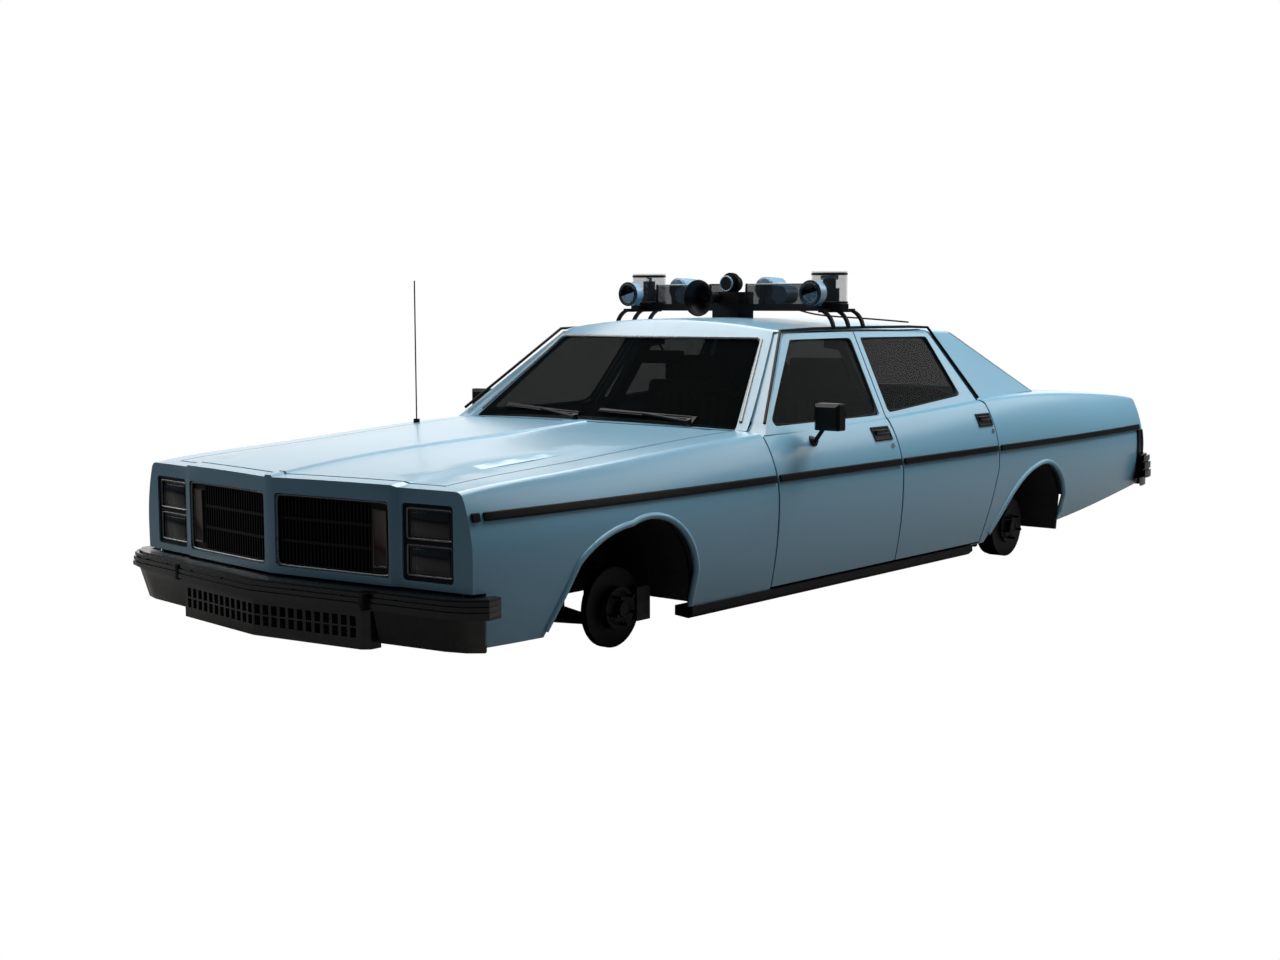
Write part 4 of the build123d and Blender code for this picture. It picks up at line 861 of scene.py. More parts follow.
SCREEN_CORNER = Pillar((0.763, -0.899, 0.76), (0.577, -0.49, 1.12))
SCREEN_MIDDLE = Pillar((0.0, -1.0, 0.76), (0.0, -0.56, 1.12))
BACK_CORNER = Pillar((0.775, 1.69, 0.76), (0.6, 1.01, 1.12))
BACK_MIDDLE = Pillar((0.0, 1.79, 0.76), (0.0, 1.07, 1.12))
SIDE_GLASS = Pillar((0.868, 0.0, 0.76), (0.645, 0.0, 1.12))
NOSE_LINE = ((0.0, -2.672), (0.565, -2.604), (0.59, -2.59), (0.96, -2.545))
FRONT_WINDOW = ((-0.838, 0.774), (-0.408, 1.112), (0.062, 1.112), (-0.014, 0.778))
REAR_WINDOW = ((0.062, 0.784), (0.138, 1.112), (0.706, 1.106), (0.742, 0.83))


def curved_screen(corner: Pillar, middle: Pillar, across: float, z: float, out: float) -> Point:
    """Place on the bowed windshield or rear window.

    Args:
        corner: The glass's edge line.
        middle: Its centre line.
        across: Share of the half width, negative on the right.
        z: Height.
        out: Distance outwards along the car.

    Returns:
        The point.
    """
    edge, mid = corner.at(z), middle.at(z)
    depth = edge.y - mid.y
    radius = (edge.x**2 + depth**2) / (2.0 * abs(depth))
    x = edge.x * across
    sag = radius - math.sqrt(radius**2 - x * x)
    sign = 1.0 if depth > 0.0 else -1.0
    return (x, mid.y + sign * (sag - out), z)


def side_glass(y: float, z: float, out: float, side: float) -> Point:
    """Place on the flat of the side windows, with its distance outwards."""
    return (side * (SIDE_GLASS.at(z).x + out), y, z)


def nose_y(x: float) -> float:
    """Front of the nose at a distance from the centre line."""
    for (x0, y0), (x1, y1) in zip(NOSE_LINE, NOSE_LINE[1:]):
        if x0 <= abs(x) <= x1:
            return y0 + (y1 - y0) * (abs(x) - x0) / (x1 - x0)
    return NOSE_LINE[-1][1]


def arc(first: tuple, middle: tuple, last: tuple, count: int) -> list[tuple]:
    """Points along the arc through three points.

    Args:
        first: Start.
        middle: A point between.
        last: End.
        count: Number of points.

    Returns:
        Plane points from start to end.
    """
    (ax, ay), (bx, by), (cx, cy) = first, middle, last
    d = 2.0 * (ax * (by - cy) + bx * (cy - ay) + cx * (ay - by))
    a2, b2, c2 = ax * ax + ay * ay, bx * bx + by * by, cx * cx + cy * cy
    ox = (a2 * (by - cy) + b2 * (cy - ay) + c2 * (ay - by)) / d
    oy = (a2 * (cx - bx) + b2 * (ax - cx) + c2 * (bx - ax)) / d
    radius = math.hypot(ax - ox, ay - oy)
    turns = [math.atan2(y - oy, x - ox) for x, y in (first, middle, last)]
    sweep = (turns[2] - turns[0]) % (2.0 * math.pi)
    if (turns[1] - turns[0]) % (2.0 * math.pi) > sweep:
        sweep -= 2.0 * math.pi
    steps = [turns[0] + sweep * i / (count - 1) for i in range(count)]
    return [(ox + radius * math.cos(t), oy + radius * math.sin(t)) for t in steps]


def skin_at(panel: bpy.types.Object, y: float, z: float, side: float = 1.0, inside: bool = False) -> float:
    """Distance of a panel's face from the centre line.

    Args:
        panel: The panel.
        y: Place along the car.
        z: Height.
        side: 1 for the left side, -1 for the right.
        inside: True for the face towards the cabin.

    Returns:
        The x of the face, or 0 where there is none.
    """
    start = Vector((side * (0.6 if inside else 1.3), y, z))
    hit, place, _, _ = panel.ray_cast(start, Vector((side if inside else -side, 0.0, 0.0)))
    return place.x if hit else 0.0


@dataclass
class SideTrim:
    """Rubbing strips, arch lips, gutters, window gaskets and handles of both sides."""

    body_work: BodyWork
    strip_z: float = 0.576
    strip_height: float = 0.03
    strip_proud: float = 0.009
    spans: tuple[tuple[str, float, float], ...] = (
        ("nose_panel", -2.543, -2.507), ("front_fenders", -2.493, -0.919), ("front_door_{}", -0.899, 0.014),
        ("rear_door_{}", 0.034, 0.879), ("quarter_panels", 0.9, 2.592),
    )

    def sheet(self, name: str, panel: bpy.types.Object, box: tuple, cells: tuple[int, int], proud: float):
        """Lay a plate on a left panel's face.

        Args:
            name: The plate's name.
            panel: What it lies on.
            box: Its y and z spans as (y0, y1, z0, z1).
            cells: Number of cells along y and z.
            proud: Its thickness.

        Returns:
            The plate.
        """
        y0, y1, z0, z1 = box
        Bench.clear()
        bpy.ops.mesh.primitive_grid_add(
            x_subdivisions=cells[1], y_subdivisions=cells[0], size=1.0,
            location=(1.04, (y0 + y1) / 2.0, (z0 + z1) / 2.0), rotation=(0.0, math.pi / 2.0, 0.0),
        )
        bpy.context.object.scale = (z1 - z0, y1 - y0, 1.0)
        plate = Bench.settle(name)
        Bench.wrap(plate, panel, "X", 0.0004)
        Bench.thicken(plate, proud, 1.0)
        return plate

    def strip(self, node: str, side: str, y0: float, y1: float) -> None:
        """Lay one length of black rubbing strip on a panel."""
        panel = self.body_work.panels[node.format("left")]
        half = self.strip_height / 2.0
        name = f"strip_{node.format(side)}_{side}"
        piece = self.sheet(
            name, panel, (y0, y1, self.strip_z - half, self.strip_z + half),
            (max(int((y1 - y0) / 0.04), 4), 4), self.strip_proud,
        )
        Bench.bevel(piece, 0.005, 3, 50.0)
        if side == "right":
            piece = self.flip(piece)
        mount(piece, self.body_work.body_of[node.format(side)], TRIM_BLACK)

    @staticmethod
    def flip(piece: bpy.types.Object) -> bpy.types.Object:
        """Turn a left piece to the right side."""
        Bench.take(piece)
        piece.scale.x = -1.0
        turned = Bench.settle(piece.name)
        Bench.tidy(turned)
        return turned

    def handle(self, node: str, side: str, y0: float, y1: float, z: float) -> None:
        """Set a dark pull handle in its cup on a door, with the lock below it."""
        panel = self.body_work.panels[f"{node}_left"]
        body = self.body_work.body_of[f"{node}_{side}"]
        cup = self.sheet(f"handle_cup_{node}_{side}", panel, (y0, y1, z - 0.029, z + 0.029), (12, 6), 0.005)
        Bench.recess(cup, lambda c, n: n.x > 0.8, 0.009, 0.003)
        Bench.bevel(cup, 0.002, 2, 50.0)
        face = skin_at(panel, (y0 + y1) / 2.0, z)
        paddle = Bench.block(
            f"handle_{node}_{side}", (
                face - 0.004, y0 + 0.016, z - 0.004
            ), (face + 0.011, y1 - 0.016, z + 0.02)
        )
        Bench.bevel(paddle, 0.005, 3)
        lock_face = skin_at(panel, y1 - 0.012, z - 0.055)
        lock = Bench.drum(
            f"lock_{node}_{side}", (lock_face - 0.004, y1 - 0.012, z - 0.055),
            (lock_face + 0.004, y1 - 0.012, z - 0.055), 0.011, sides=28,
        )
        Bench.recess(lock, lambda c, n: n.x > 0.9, 0.004, 0.002)
        for piece, finish in ((cup, TRIM_BLACK), (paddle, BUMPER_BLACK), (lock, BRIGHT)):
            mount(self.flip(piece) if side == "right" else piece, body, finish)

    def arch(self, name: str, node: str, points: Sequence[tuple], side: str) -> None:
        """Roll a painted lip round a wheel opening.

        Args:
            name: The lip's name.
            node: The panel that carries it.
            points: Side-view points of the opening's edge.
            side: left or right.
        """
        panel = self.body_work.panels[node]
        middle = Vector((sum(p[0] for p in points) / len(points), 0.2))
        way = []
        for y, z in points:
            away = (Vector((y, z)) - middle).normalized() * 0.014
            face = skin_at(panel, y + away.x, z + away.y)
            if face > 0.7:
                way.append((face - 0.003, y + away.x * 0.5, z + away.y * 0.5))
        lip = Bench.tube(f"{name}_{side}", way, 0.013, bend=False)
        Bench.tidy(lip)
        if side == "right":
            lip = self.flip(lip)
        mount(lip, "body", PAINT, 60.0)

    def tail_trim(self, side: str) -> None:
        """Cover the corner of the tail with upright black trim."""
        for node, y0, y1 in (("quarter_panels", 2.552, 2.597), ("tail_panel", 2.604, 2.636)):
            panel = self.body_work.panels[node]
            piece = self.sheet(f"tail_trim_{node}_{side}", panel, (y0, y1, 0.29, 0.561), (4, 18), 0.007)
            Bench.bevel(piece, 0.003, 2, 50.0)
            mount(self.flip(piece) if side == "right" else piece, "body", TRIM_BLACK)

    def gutter(self, side: str) -> None:
        """Run the black gutter from the foot of the windshield pillar to the rear pillar."""
        sign = SIDES[side]
        line = [(-0.868, 0.79), (-0.66, 0.968), (-0.45, 1.15), (-0.2, 1.156), (0.2, 1.156), (0.6, 1.153)]
        line += [(0.757, 1.148), (0.82, 0.98), (0.884, 0.812)]
        gutter = Bench.tube(
            f"gutter_{side}", [side_glass(y, z, 0.004, sign) for y, z in line], 0.0065, bend=False
        )
        mount(gutter, "body", RUBBER, 60.0)

    def gasket(self, name: str, window: Sequence[tuple], side: str) -> None:
        """Bed a side window in black rubber.

        Args:
            name: Which door.
            window: Side-view corners of the window.
            side: left or right.
        """
        way = []
        for index, (y, z) in enumerate(window):
            before, after = Vector(window[index - 1]), Vector(window[(index + 1) % len(window)])
            here = Vector((y, z))
            for other, shares in ((before, (0.5, 0.06)), (after, (0.06, 0.5))):
                way += [tuple(here.lerp(other, share)) for share in shares]
        loop = [side_glass(y, z, -0.007, SIDES[side]) for y, z in way]
        rubber = Bench.tube(f"gasket_{name}_{side}", loop, 0.0055, closed=True, bend=True)
        mount(rubber, f"{name}_door_{side}", RUBBER, 60.0)

    def seal(self, name: str, points: Sequence[tuple], side: str) -> None:
        """Close the gap between a wheel liner and its panel.

        Args:
            name: The seal's name.
            points: Side-view points of the opening's edge.
            side: left or right.
        """
        middle = Vector((sum(p[0] for p in points) / len(points), 0.2))
        way = []
        for y, z in points:
            away = (Vector((y, z)) - middle).normalized() * 0.016
            way.append((SIDES[side] * 0.911, y + away.x, z + away.y))
        mount(Bench.tube(f"{name}_{side}", way, 0.015, bend=False), "body", RUBBER, 60.0)

    def build(self) -> None:
        """Make the trim of both sides."""
        front = arc((-2.072, 0.375), (-1.955, 0.447), (-1.8, 0.482), 12)
        front += arc((-1.8, 0.482), (-1.52, 0.433), (-1.425, 0.27), 22)[1:] + [(-1.431, 0.14)]
        front = [(-2.21, 0.158), (-2.14, 0.268)] + front
        rear = [(0.86, 0.17), (0.94, 0.248)] + arc((1.013, 0.318), (1.145, 0.412), (1.31, 0.466), 14)
        rear += arc((1.31, 0.466), (1.525, 0.415), (1.612, 0.29), 20)[1:] + [(1.6, 0.2)]
        for side in SIDES:
            for node, y0, y1 in self.spans:
                self.strip(node, side, y0, y1)
            self.handle("front_door", side, -0.149, -0.013, 0.703)
            self.handle("rear_door", side, 0.744, 0.872, 0.714)
            self.arch("front_arch_lip", "front_fenders", front, side)
            self.arch("rear_arch_lip", "quarter_panels", rear, side)
            self.seal("front_arch_seal", front[1:-1], side)
            self.seal("rear_arch_seal", rear[1:-1], side)
            self.tail_trim(side)
            self.gutter(side)
            self.gasket("front", FRONT_WINDOW, side)
            self.gasket("rear", REAR_WINDOW, side)


@dataclass
class Screens:
    """Reveals round the windshield and rear window, the inner mirror and the wiper arms."""

    body_work: BodyWork

    def reveal(self, name: str, corner: Pillar, middle: Pillar, finish: Finish, radius: float) -> None:
        """Frame one bowed glass on three sides.

        Args:
            name: The frame's name.
            corner: The glass's edge line.
            middle: Its centre line.
            finish: The frame's finish.
            radius: Half its thickness.
        """
        up = [curved_screen(corner, middle, 0.985, 0.79 + 0.32 * i / 8.0, 0.002) for i in range(9)]
        top = [curved_screen(corner, middle, 0.96 - 0.192 * i, 1.119, 0.002) for i in range(11)]
        down = [(-x, y, z) for x, y, z in reversed(up)]
        frame = Bench.tube(name, up + top + down, radius, bend=False)
        mount(frame, "body", finish, 60.0)

    def wiper(self, name: str, start: float, end: float) -> None:
        """Lay one wiper with its arm, carrier and pivot cap on the windshield.

        Args:
            name: The wiper's name.
            start: Share of the half width at the blade's far end.
            end: Share at the pivot.
        """
        pieces = []
        low = [curved_screen(SCREEN_CORNER, SCREEN_MIDDLE, start + (end - start) * i / 10.0,
                             0.815 - 0.0012 * i, 0.012) for i in range(11)]
        pieces.append(Bench.tube(f"{name}_carrier", low, 0.005, bend=False))
        mid = Vector(low[5])
        pivot = Vector(curved_screen(SCREEN_CORNER, SCREEN_MIDDLE, end, 0.785, 0.02))
        elbow = pivot.lerp(mid, 0.5) + Vector((0, -0.01, 0.004))
        arm = [tuple(pivot), tuple(elbow), tuple(mid + Vector((0, -0.006, 0.002)))]
        pieces.append(Bench.tube(f"{name}_arm", arm, 0.006))
        cap = Bench.drum(f"{name}_pivot", tuple(pivot + Vector((0, 0.01, -0.02))),
                         tuple(pivot + Vector((0, -0.004, 0.012))), 0.014, 0.01, sides=28)
        pieces.append(cap)
        whole = Bench.join(pieces, name)
        mount(whole, "body", TRIM_BLACK, 50.0)

    def inner_mirror(self) -> None:
        """Hang the mirror inside the windshield."""
        shell = Bench.block("inner_mirror", (-0.1, -0.49, 1.0), (0.12, -0.462, 1.058))
        Bench.recess(shell, lambda c, n: n.y > 0.9, 0.006, 0.004)
        Bench.bevel(shell, 0.008, 3)
        mount(shell, "body", TRIM_BLACK)
        stalk = Bench.tube(
            "mirror_stalk", [(0.01, -0.475, 1.05), (0.01, -0.492, 1.085), (0.01, -0.52, 1.1)], 0.006
        )
        mount(stalk, "body", TRIM_BLACK, 60.0)

    def build(self) -> None:
        """Make both reveals, the wipers and the mirror."""
        self.reveal("windshield_reveal", SCREEN_CORNER, SCREEN_MIDDLE, REVEAL_AND_HIGHLIGHT_GREY, 0.007)
        self.reveal("rear_window_reveal", BACK_CORNER, BACK_MIDDLE, RUBBER, 0.007)
        self.wiper("wiper_left", 0.06, 0.7)
        self.wiper("wiper_right", -0.74, -0.08)
        self.inner_mirror()


@dataclass
class FrontEnd:
    """Grille rims, marker lamps, headlamp inserts and the bumper's fittings."""

    lamp_span: tuple[float, float] = (0.616, 0.81)
    lamp_rows: tuple[float, float] = (0.363, 0.487)
    lamp_height: float = 0.112

    @staticmethod
    def loop(name: str, x0: float, x1: float, z0: float, z1: float, back: float, radius: float):
        """Run a thin rim round a rectangle on the nose.

        Args:
            name: The rim's name.
            x0: Inner edge.
            x1: Outer edge.
            z0: Lower edge.
            z1: Upper edge.
            back: Distance behind the nose's front.
            radius: Half the rim's thickness.

        Returns:
            The rim.
        """
        corners = [(x0, z0), (x1, z0), (x1, z1), (x0, z1)]
        way = []
        for index, (x, z) in enumerate(corners):
            here = Vector((x, z))
            for other, shares in ((Vector(corners[index - 1]), (0.3, 0.03)),
                                  (Vector(corners[(index + 1) % 4]), (0.03, 0.3))):
                way += [tuple(here.lerp(other, share)) for share in shares]
        return Bench.tube(name, [(x, nose_y(x) + back, z) for x, z in way], radius, closed=True)

    def lamp(self, name: str, side: float, z: float) -> None:
        """Build one lamp insert of a ribbed glass and a rim."""
        x0, x1 = self.lamp_span
        middle = side * (x0 + x1) / 2.0
        y = nose_y(middle)
        rim = self.loop(f"{name}_rim", x0, x1, z + 0.004, z + self.lamp_height - 0.004, 0.012, 0.0045)
        if side < 0.0:
            rim = SideTrim.flip(rim)
        mount(rim, "body", REVEAL_AND_HIGHLIGHT_GREY, 60.0)
        turn = math.atan2(0.045, 0.37) * side
        glass = Bench.block(f"{name}_ribs", (-0.084, -0.0035, -0.043), (0.084, 0.0035, 0.043))
        Bench.recess(glass, lambda c, n: n.y < -0.9, 0.006, -0.002)
        glass.matrix_world = Matrix.Translation(
            (middle, y + 0.0165, z + self.lamp_height / 2.0)
        ) @ Matrix.Rotation(turn, 4, "Z")
        Bench.take(glass)
        glass = Bench.settle(f"{name}_ribs")
        Bench.bevel(glass, 0.002, 2)
        mount(glass, "body", LAMP_FACE)

    def markers(self, side: float, name: str) -> None:
        """Set the upright amber marker at the grille's outer end."""
        middle = side * 0.508
        turn = math.atan2(0.068, 0.565) * side
        lens = Bench.block(f"marker_{name}", (-0.032, -0.01, -0.1), (0.032, 0.01, 0.1))
        Bench.recess(lens, lambda c, n: n.y < -0.9, 0.006, 0.003)
        lens.matrix_world = Matrix.Translation(
            (middle, nose_y(middle) + 0.018, 0.482)
        ) @ Matrix.Rotation(turn, 4, "Z")
        Bench.take(lens)
        lens = Bench.settle(f"marker_{name}")
        Bench.bevel(lens, 0.003, 2)
        mount(lens, "body", AMBER_LENS)

    def bumper(self) -> None:
        """Bolt the bumper's face and cover its joints."""
        heads = []
        for side in SIDES.values():
            for x, y in ((0.2, -2.735), (0.42, -2.705), (0.64, -2.657), (0.8, -2.638)):
                head = Bench.drum(
                    f"bolt_{side}_{x}", (side * x, y + 0.012, 0.286), (side * x, y - 0.004, 0.286),
                    0.012, 0.009, sides=24
                )
                heads.append(head)
            cover = Bench.block(
                f"joint_{side}", (side * 0.52 - 0.01, -2.7, 0.25), (side * 0.52 + 0.01, -2.66, 0.309)
            )
            Bench.bevel(cover, 0.003, 2)
            mount(cover, "body", TRIM_BLACK)
        mount(Bench.join(heads, "bumper_bolts"), "body", TRIM_BLACK, 40.0)

    def build(self) -> None:
        """Make all of the nose's fittings."""
        for label, side in SIDES.items():
            rim = self.loop(f"grille_rim_{label}", 0.034, 0.552, 0.356, 0.608, 0.008, 0.004)
            mount(SideTrim.flip(rim) if side < 0.0 else rim, "body", REVEAL_AND_HIGHLIGHT_GREY, 60.0)
            for row, z in zip(("low", "high"), self.lamp_rows):
                self.lamp(f"headlamp_{row}_{label}", side, z)
            self.markers(side, label)
        self.bumper()


@dataclass
class TailEnd:
    """Tail-lamp frames and ribs, the blank number plate and the trunk lock."""

    tail_y: float = 2.648

    def lamp(self, label: str, side: float) -> None:
        """Frame one tail lamp and divide its lens."""
        x0, x1, z0, z1 = 0.332, 0.804, 0.472, 0.638
        pieces = []
        for index in range(5):
            z = z0 + 0.026 + index * 0.0285
            bar = Bench.block(
                f"rib_{label}_{index}", (x0 + 0.01, self.tail_y - 0.004, z),
                (x1 - 0.01, self.tail_y + 0.005, z + 0.006)
            )
            Bench.bevel(bar, 0.002, 2)
            pieces.append(bar)
        ribs = Bench.join(pieces, f"tail_ribs_{label}")
        mount(SideTrim.flip(ribs) if side < 0.0 else ribs, "body", TRIM_BLACK)
        corners = [(x0, z0), (x1, z0), (x1, z1), (x0, z1)]
        rim = Bench.tube(
            f"tail_rim_{label}", [(x, self.tail_y - 0.002, z) for x, z in corners], 0.006, closed=True,
            bend=False
        )
        mount(SideTrim.flip(rim) if side < 0.0 else rim, "body", TRIM_BLACK, 60.0)

    def plate(self) -> None:
        """Hang the blank number plate in its frame."""
        panel = Bench.block("plate_frame", (-0.17, 2.636, 0.49), (0.17, 2.652, 0.64))
        Bench.recess(panel, lambda c, n: n.y > 0.9, 0.01, 0.004)
        Bench.bevel(panel, 0.003, 2)
        mount(panel, "body", TRIM_BLACK)
        blank = Bench.block("blank_plate", (-0.152, 2.646, 0.505), (0.152, 2.65, 0.625))
        Bench.recess(blank, lambda c, n: n.y > 0.9, 0.006, 0.0008)
        mount(blank, "body", BRIGHT)
        screws = [
            Bench.drum(
                f"plate_screw_{x}", (x, 2.646, 0.612), (x, 2.654, 0.612), 0.006, sides=20
            ) for x in (-0.1, 0.1)
        ]
        mount(Bench.join(screws, "plate_screws"), "body", TRIM_BLACK)

    def build(self) -> None:
        """Make the tail's fittings."""
        for label, side in SIDES.items():
            self.lamp(label, side)
        self.plate()
        lock = Bench.drum("trunk_lock", (0.0, 2.585, 0.66), (0.0, 2.6, 0.66), 0.016, sides=32)
        Bench.recess(lock, lambda c, n: n.y > 0.9, 0.005, 0.003)
        mount(lock, "trunk_lid", BRIGHT)


@dataclass
class RoofBar:
    """Fittings of the roof's light bar."""

    bar_y: float = 0.075
    base_top: float = 1.262

    def beacon(self, label: str, side: float) -> None:
        """Band one dome and give it a mirror inside."""
        x = side * 0.527
        for tag, z, radius in (("foot", self.base_top + 0.006, 0.079), ("top", 1.396, 0.077)):
            band = Bench.ring(f"dome_{tag}_{label}", (x, self.bar_y, z), (0, 0, 1), radius, 0.0055)
            mount(band, "body", TRIM_BLACK, 60.0)
        plate = Bench.block(
            f"dome_mirror_{label}", (x - 0.04, self.bar_y - 0.003, 1.37),
            (x + 0.04, self.bar_y + 0.003, 1.39)
        )
        foot = Matrix.Translation((x, self.bar_y, 0))
        plate.matrix_world = foot @ Matrix.Rotation(0.6 * side, 4, "Z") @ foot.inverted()
        Bench.take(plate)
        plate = Bench.settle(f"dome_mirror_{label}")
        Bench.bevel(plate, 0.002, 2)
        mount(plate, "body", BRIGHT)

    def can(self, label: str, side: float) -> None:
        """Face one take-down lamp with its rim and dark glass."""
        x, y, z = side * 0.53, self.bar_y - 0.16, 1.31
        rim = Bench.ring(f"can_rim_{label}", (x, y + 0.003, z), (0, 1, 0), 0.0535, 0.0045)
        mount(rim, "body", TRIM_BLACK, 60.0)
        face = Bench.drum(f"can_face_{label}", (x, y + 0.004, z), (x, y - 0.003, z), 0.051, 0.048, sides=48)
        Bench.recess(face, lambda c, n: n.y < -0.9, 0.006, 0.003)
        Bench.bevel(face, 0.0012, 2)
        mount(face, "body", LAMP_FACE)

    def rear_can(self, label: str, x: float) -> None:
        """Stand one lamp can on its foot behind the covers.

        Args:
            label: The can's name.
            x: Its middle across the car.
        """
        front, back, z = self.bar_y + 0.064, self.bar_y + 0.175, 1.333
        shell = Bench.drum(f"rear_can_{label}", (x, front, z), (x, back, z), 0.055, sides=56)
        Bench.recess(shell, lambda c, n: n.y < -0.9, 0.005, -0.006)
        Bench.bevel(shell, 0.004, 3)
        mount(shell, "body", BEACON_BLUE, 40.0)
        face = Bench.drum(
            f"rear_can_face_{label}", (x, front + 0.009, z), (x, front + 0.001, z), 0.049, 0.046, sides=48
        )
        Bench.recess(face, lambda c, n: n.y < -0.9, 0.006, 0.003)
        Bench.bevel(face, 0.0012, 2)
        mount(face, "body", LAMP_FACE)
        foot = Bench.block(
            f"rear_can_foot_{label}", (x - 0.018, self.bar_y + 0.04, 1.25), (x + 0.018, back - 0.03, 1.284)
        )
        Bench.bevel(foot, 0.003, 2)
        mount(foot, "body", TRIM_BLACK)

    def cover(self, label: str, side: float) -> None:
        """Edge one long cover with grey tubes, a painted highlight along its top edges, and strap it down."""
        z = 1.352
        for tag, y in (("front", self.bar_y - 0.053), ("rear", self.bar_y + 0.053)):
            # The grey tubes along the cover's top edges are a painted highlight of its bright edge line.
            edge = Bench.tube(
                f"cover_edge_{tag}_{label}", [
                    (side * 0.1, y, z), (side * 0.27, y, z), (side * 0.436, y, z)
                ], 0.0035, bend=False
            )
            mount(edge, "body", REVEAL_AND_HIGHLIGHT_GREY, 60.0)
        straps = []
        for x in (0.105, 0.43):
            strap = Bench.tube(f"strap_{label}_{x}", [
                (side * x, self.bar_y - 0.061, self.base_top), (side * x, self.bar_y - 0.055, z + 0.001),
                (side * x, self.bar_y + 0.055, z + 0.001), (side * x, self.bar_y + 0.061, self.base_top),
            ], 0.005, bend=False)
            straps.append(strap)
        mount(Bench.join(straps, f"cover_straps_{label}"), "body", TRIM_BLACK, 60.0)

    def build(self) -> None:
        """Make the bar's fittings."""
        for label, side in SIDES.items():
            self.beacon(label, side)
            self.can(label, side)
            self.cover(label, side)
        self.rear_can("left", 0.12)
        self.rear_can("right", -0.4)
        band = Bench.ring("horn_lip", (-0.062, self.bar_y - 0.205, 1.29), (0, 1, 0), 0.081, 0.004)
        mount(band, "body", TRIM_BLACK, 60.0)
        hoop = Bench.ring("hoop_lamp_rim", (-0.02, self.bar_y - 0.046, 1.356), (0, 1, 0), 0.034, 0.004)
        mount(hoop, "body", BEACON_BLUE, 60.0)
        cable = Bench.tube("bar_cable", [
            (0.3, self.bar_y + 0.058, 1.24), (0.31, 0.2, 1.222), (0.33, 0.34, 1.204), (0.4, 0.6, 1.19),
            (0.5, 0.8, 1.171),
        ], 0.004)
        mount(cable, "body", RUBBER, 60.0)


@dataclass
class Mirrors:
    """Glass of the two door mirrors, with a grey strip on each top edge as a painted highlight."""

    def build(self) -> None:
        """Fit both mirrors."""
        for label, side in SIDES.items():
            glass = Bench.block(f"mirror_glass_{label}", (0.938, -0.588, 0.76), (1.044, -0.583, 0.854))
            Bench.recess(glass, lambda c, n: n.y > 0.9, 0.005, -0.001)
            Bench.bevel(glass, 0.002, 2)
            mount(SideTrim.flip(glass) if side < 0.0 else glass, f"front_door_{label}", BRIGHT)
            # The grey strip on the mirror's top is a painted highlight of its lit top edge.
            cap = Bench.block(f"mirror_cap_{label}", (0.945, -0.625, 0.8605), (1.037, -0.593, 0.8635))
            Bench.bevel(cap, 0.0012, 2)
            mount(SideTrim.flip(cap) if side < 0.0 else cap, f"front_door_{label}", REVEAL_AND_HIGHLIGHT_GREY)


@dataclass
class Brakes:
    """Rims, nuts and hoses of the four brakes."""

    axles: tuple[tuple[str, float], ...] = (("front", -1.695), ("rear", 1.29))

    def build(self) -> None:
        """Fit each hub."""
        for end, y in self.axles:
            for label, side in SIDES.items():
                body = f"{end}_hub_{label}"
                pieces = [
                    Bench.ring(f"{body}_band", (side * 0.7875, y, 0.15), (1, 0, 0), 0.078, 0.003),
                    Bench.ring(f"{body}_cap_rim", (side * 0.822, y, 0.15), (1, 0, 0), 0.028, 0.0035),
                ]
                for index in range(5):
                    turn = 2.0 * math.pi * index / 5.0
                    at = (y + 0.05715 * math.cos(turn), 0.15 + 0.05715 * math.sin(turn))
                    pieces.append(
                        Bench.ring(f"{body}_seat_{index}", (side * 0.801, *at), (1, 0, 0), 0.0105, 0.002)
                    )
                mount(Bench.join(pieces, f"{body}_fittings"), body, BRAKE_IRON, 50.0)
        for label, side in SIDES.items():
            hose = Bench.tube(f"brake_hose_{label}", [
                (side * 0.69, -1.545, 0.2), (side * 0.665, -1.535, 0.232), (side * 0.63, -1.56, 0.25),
                (side * 0.6, -1.6, 0.25),
            ], 0.006)
            mount(hose, f"knuckle_{label}", RUBBER, 60.0)


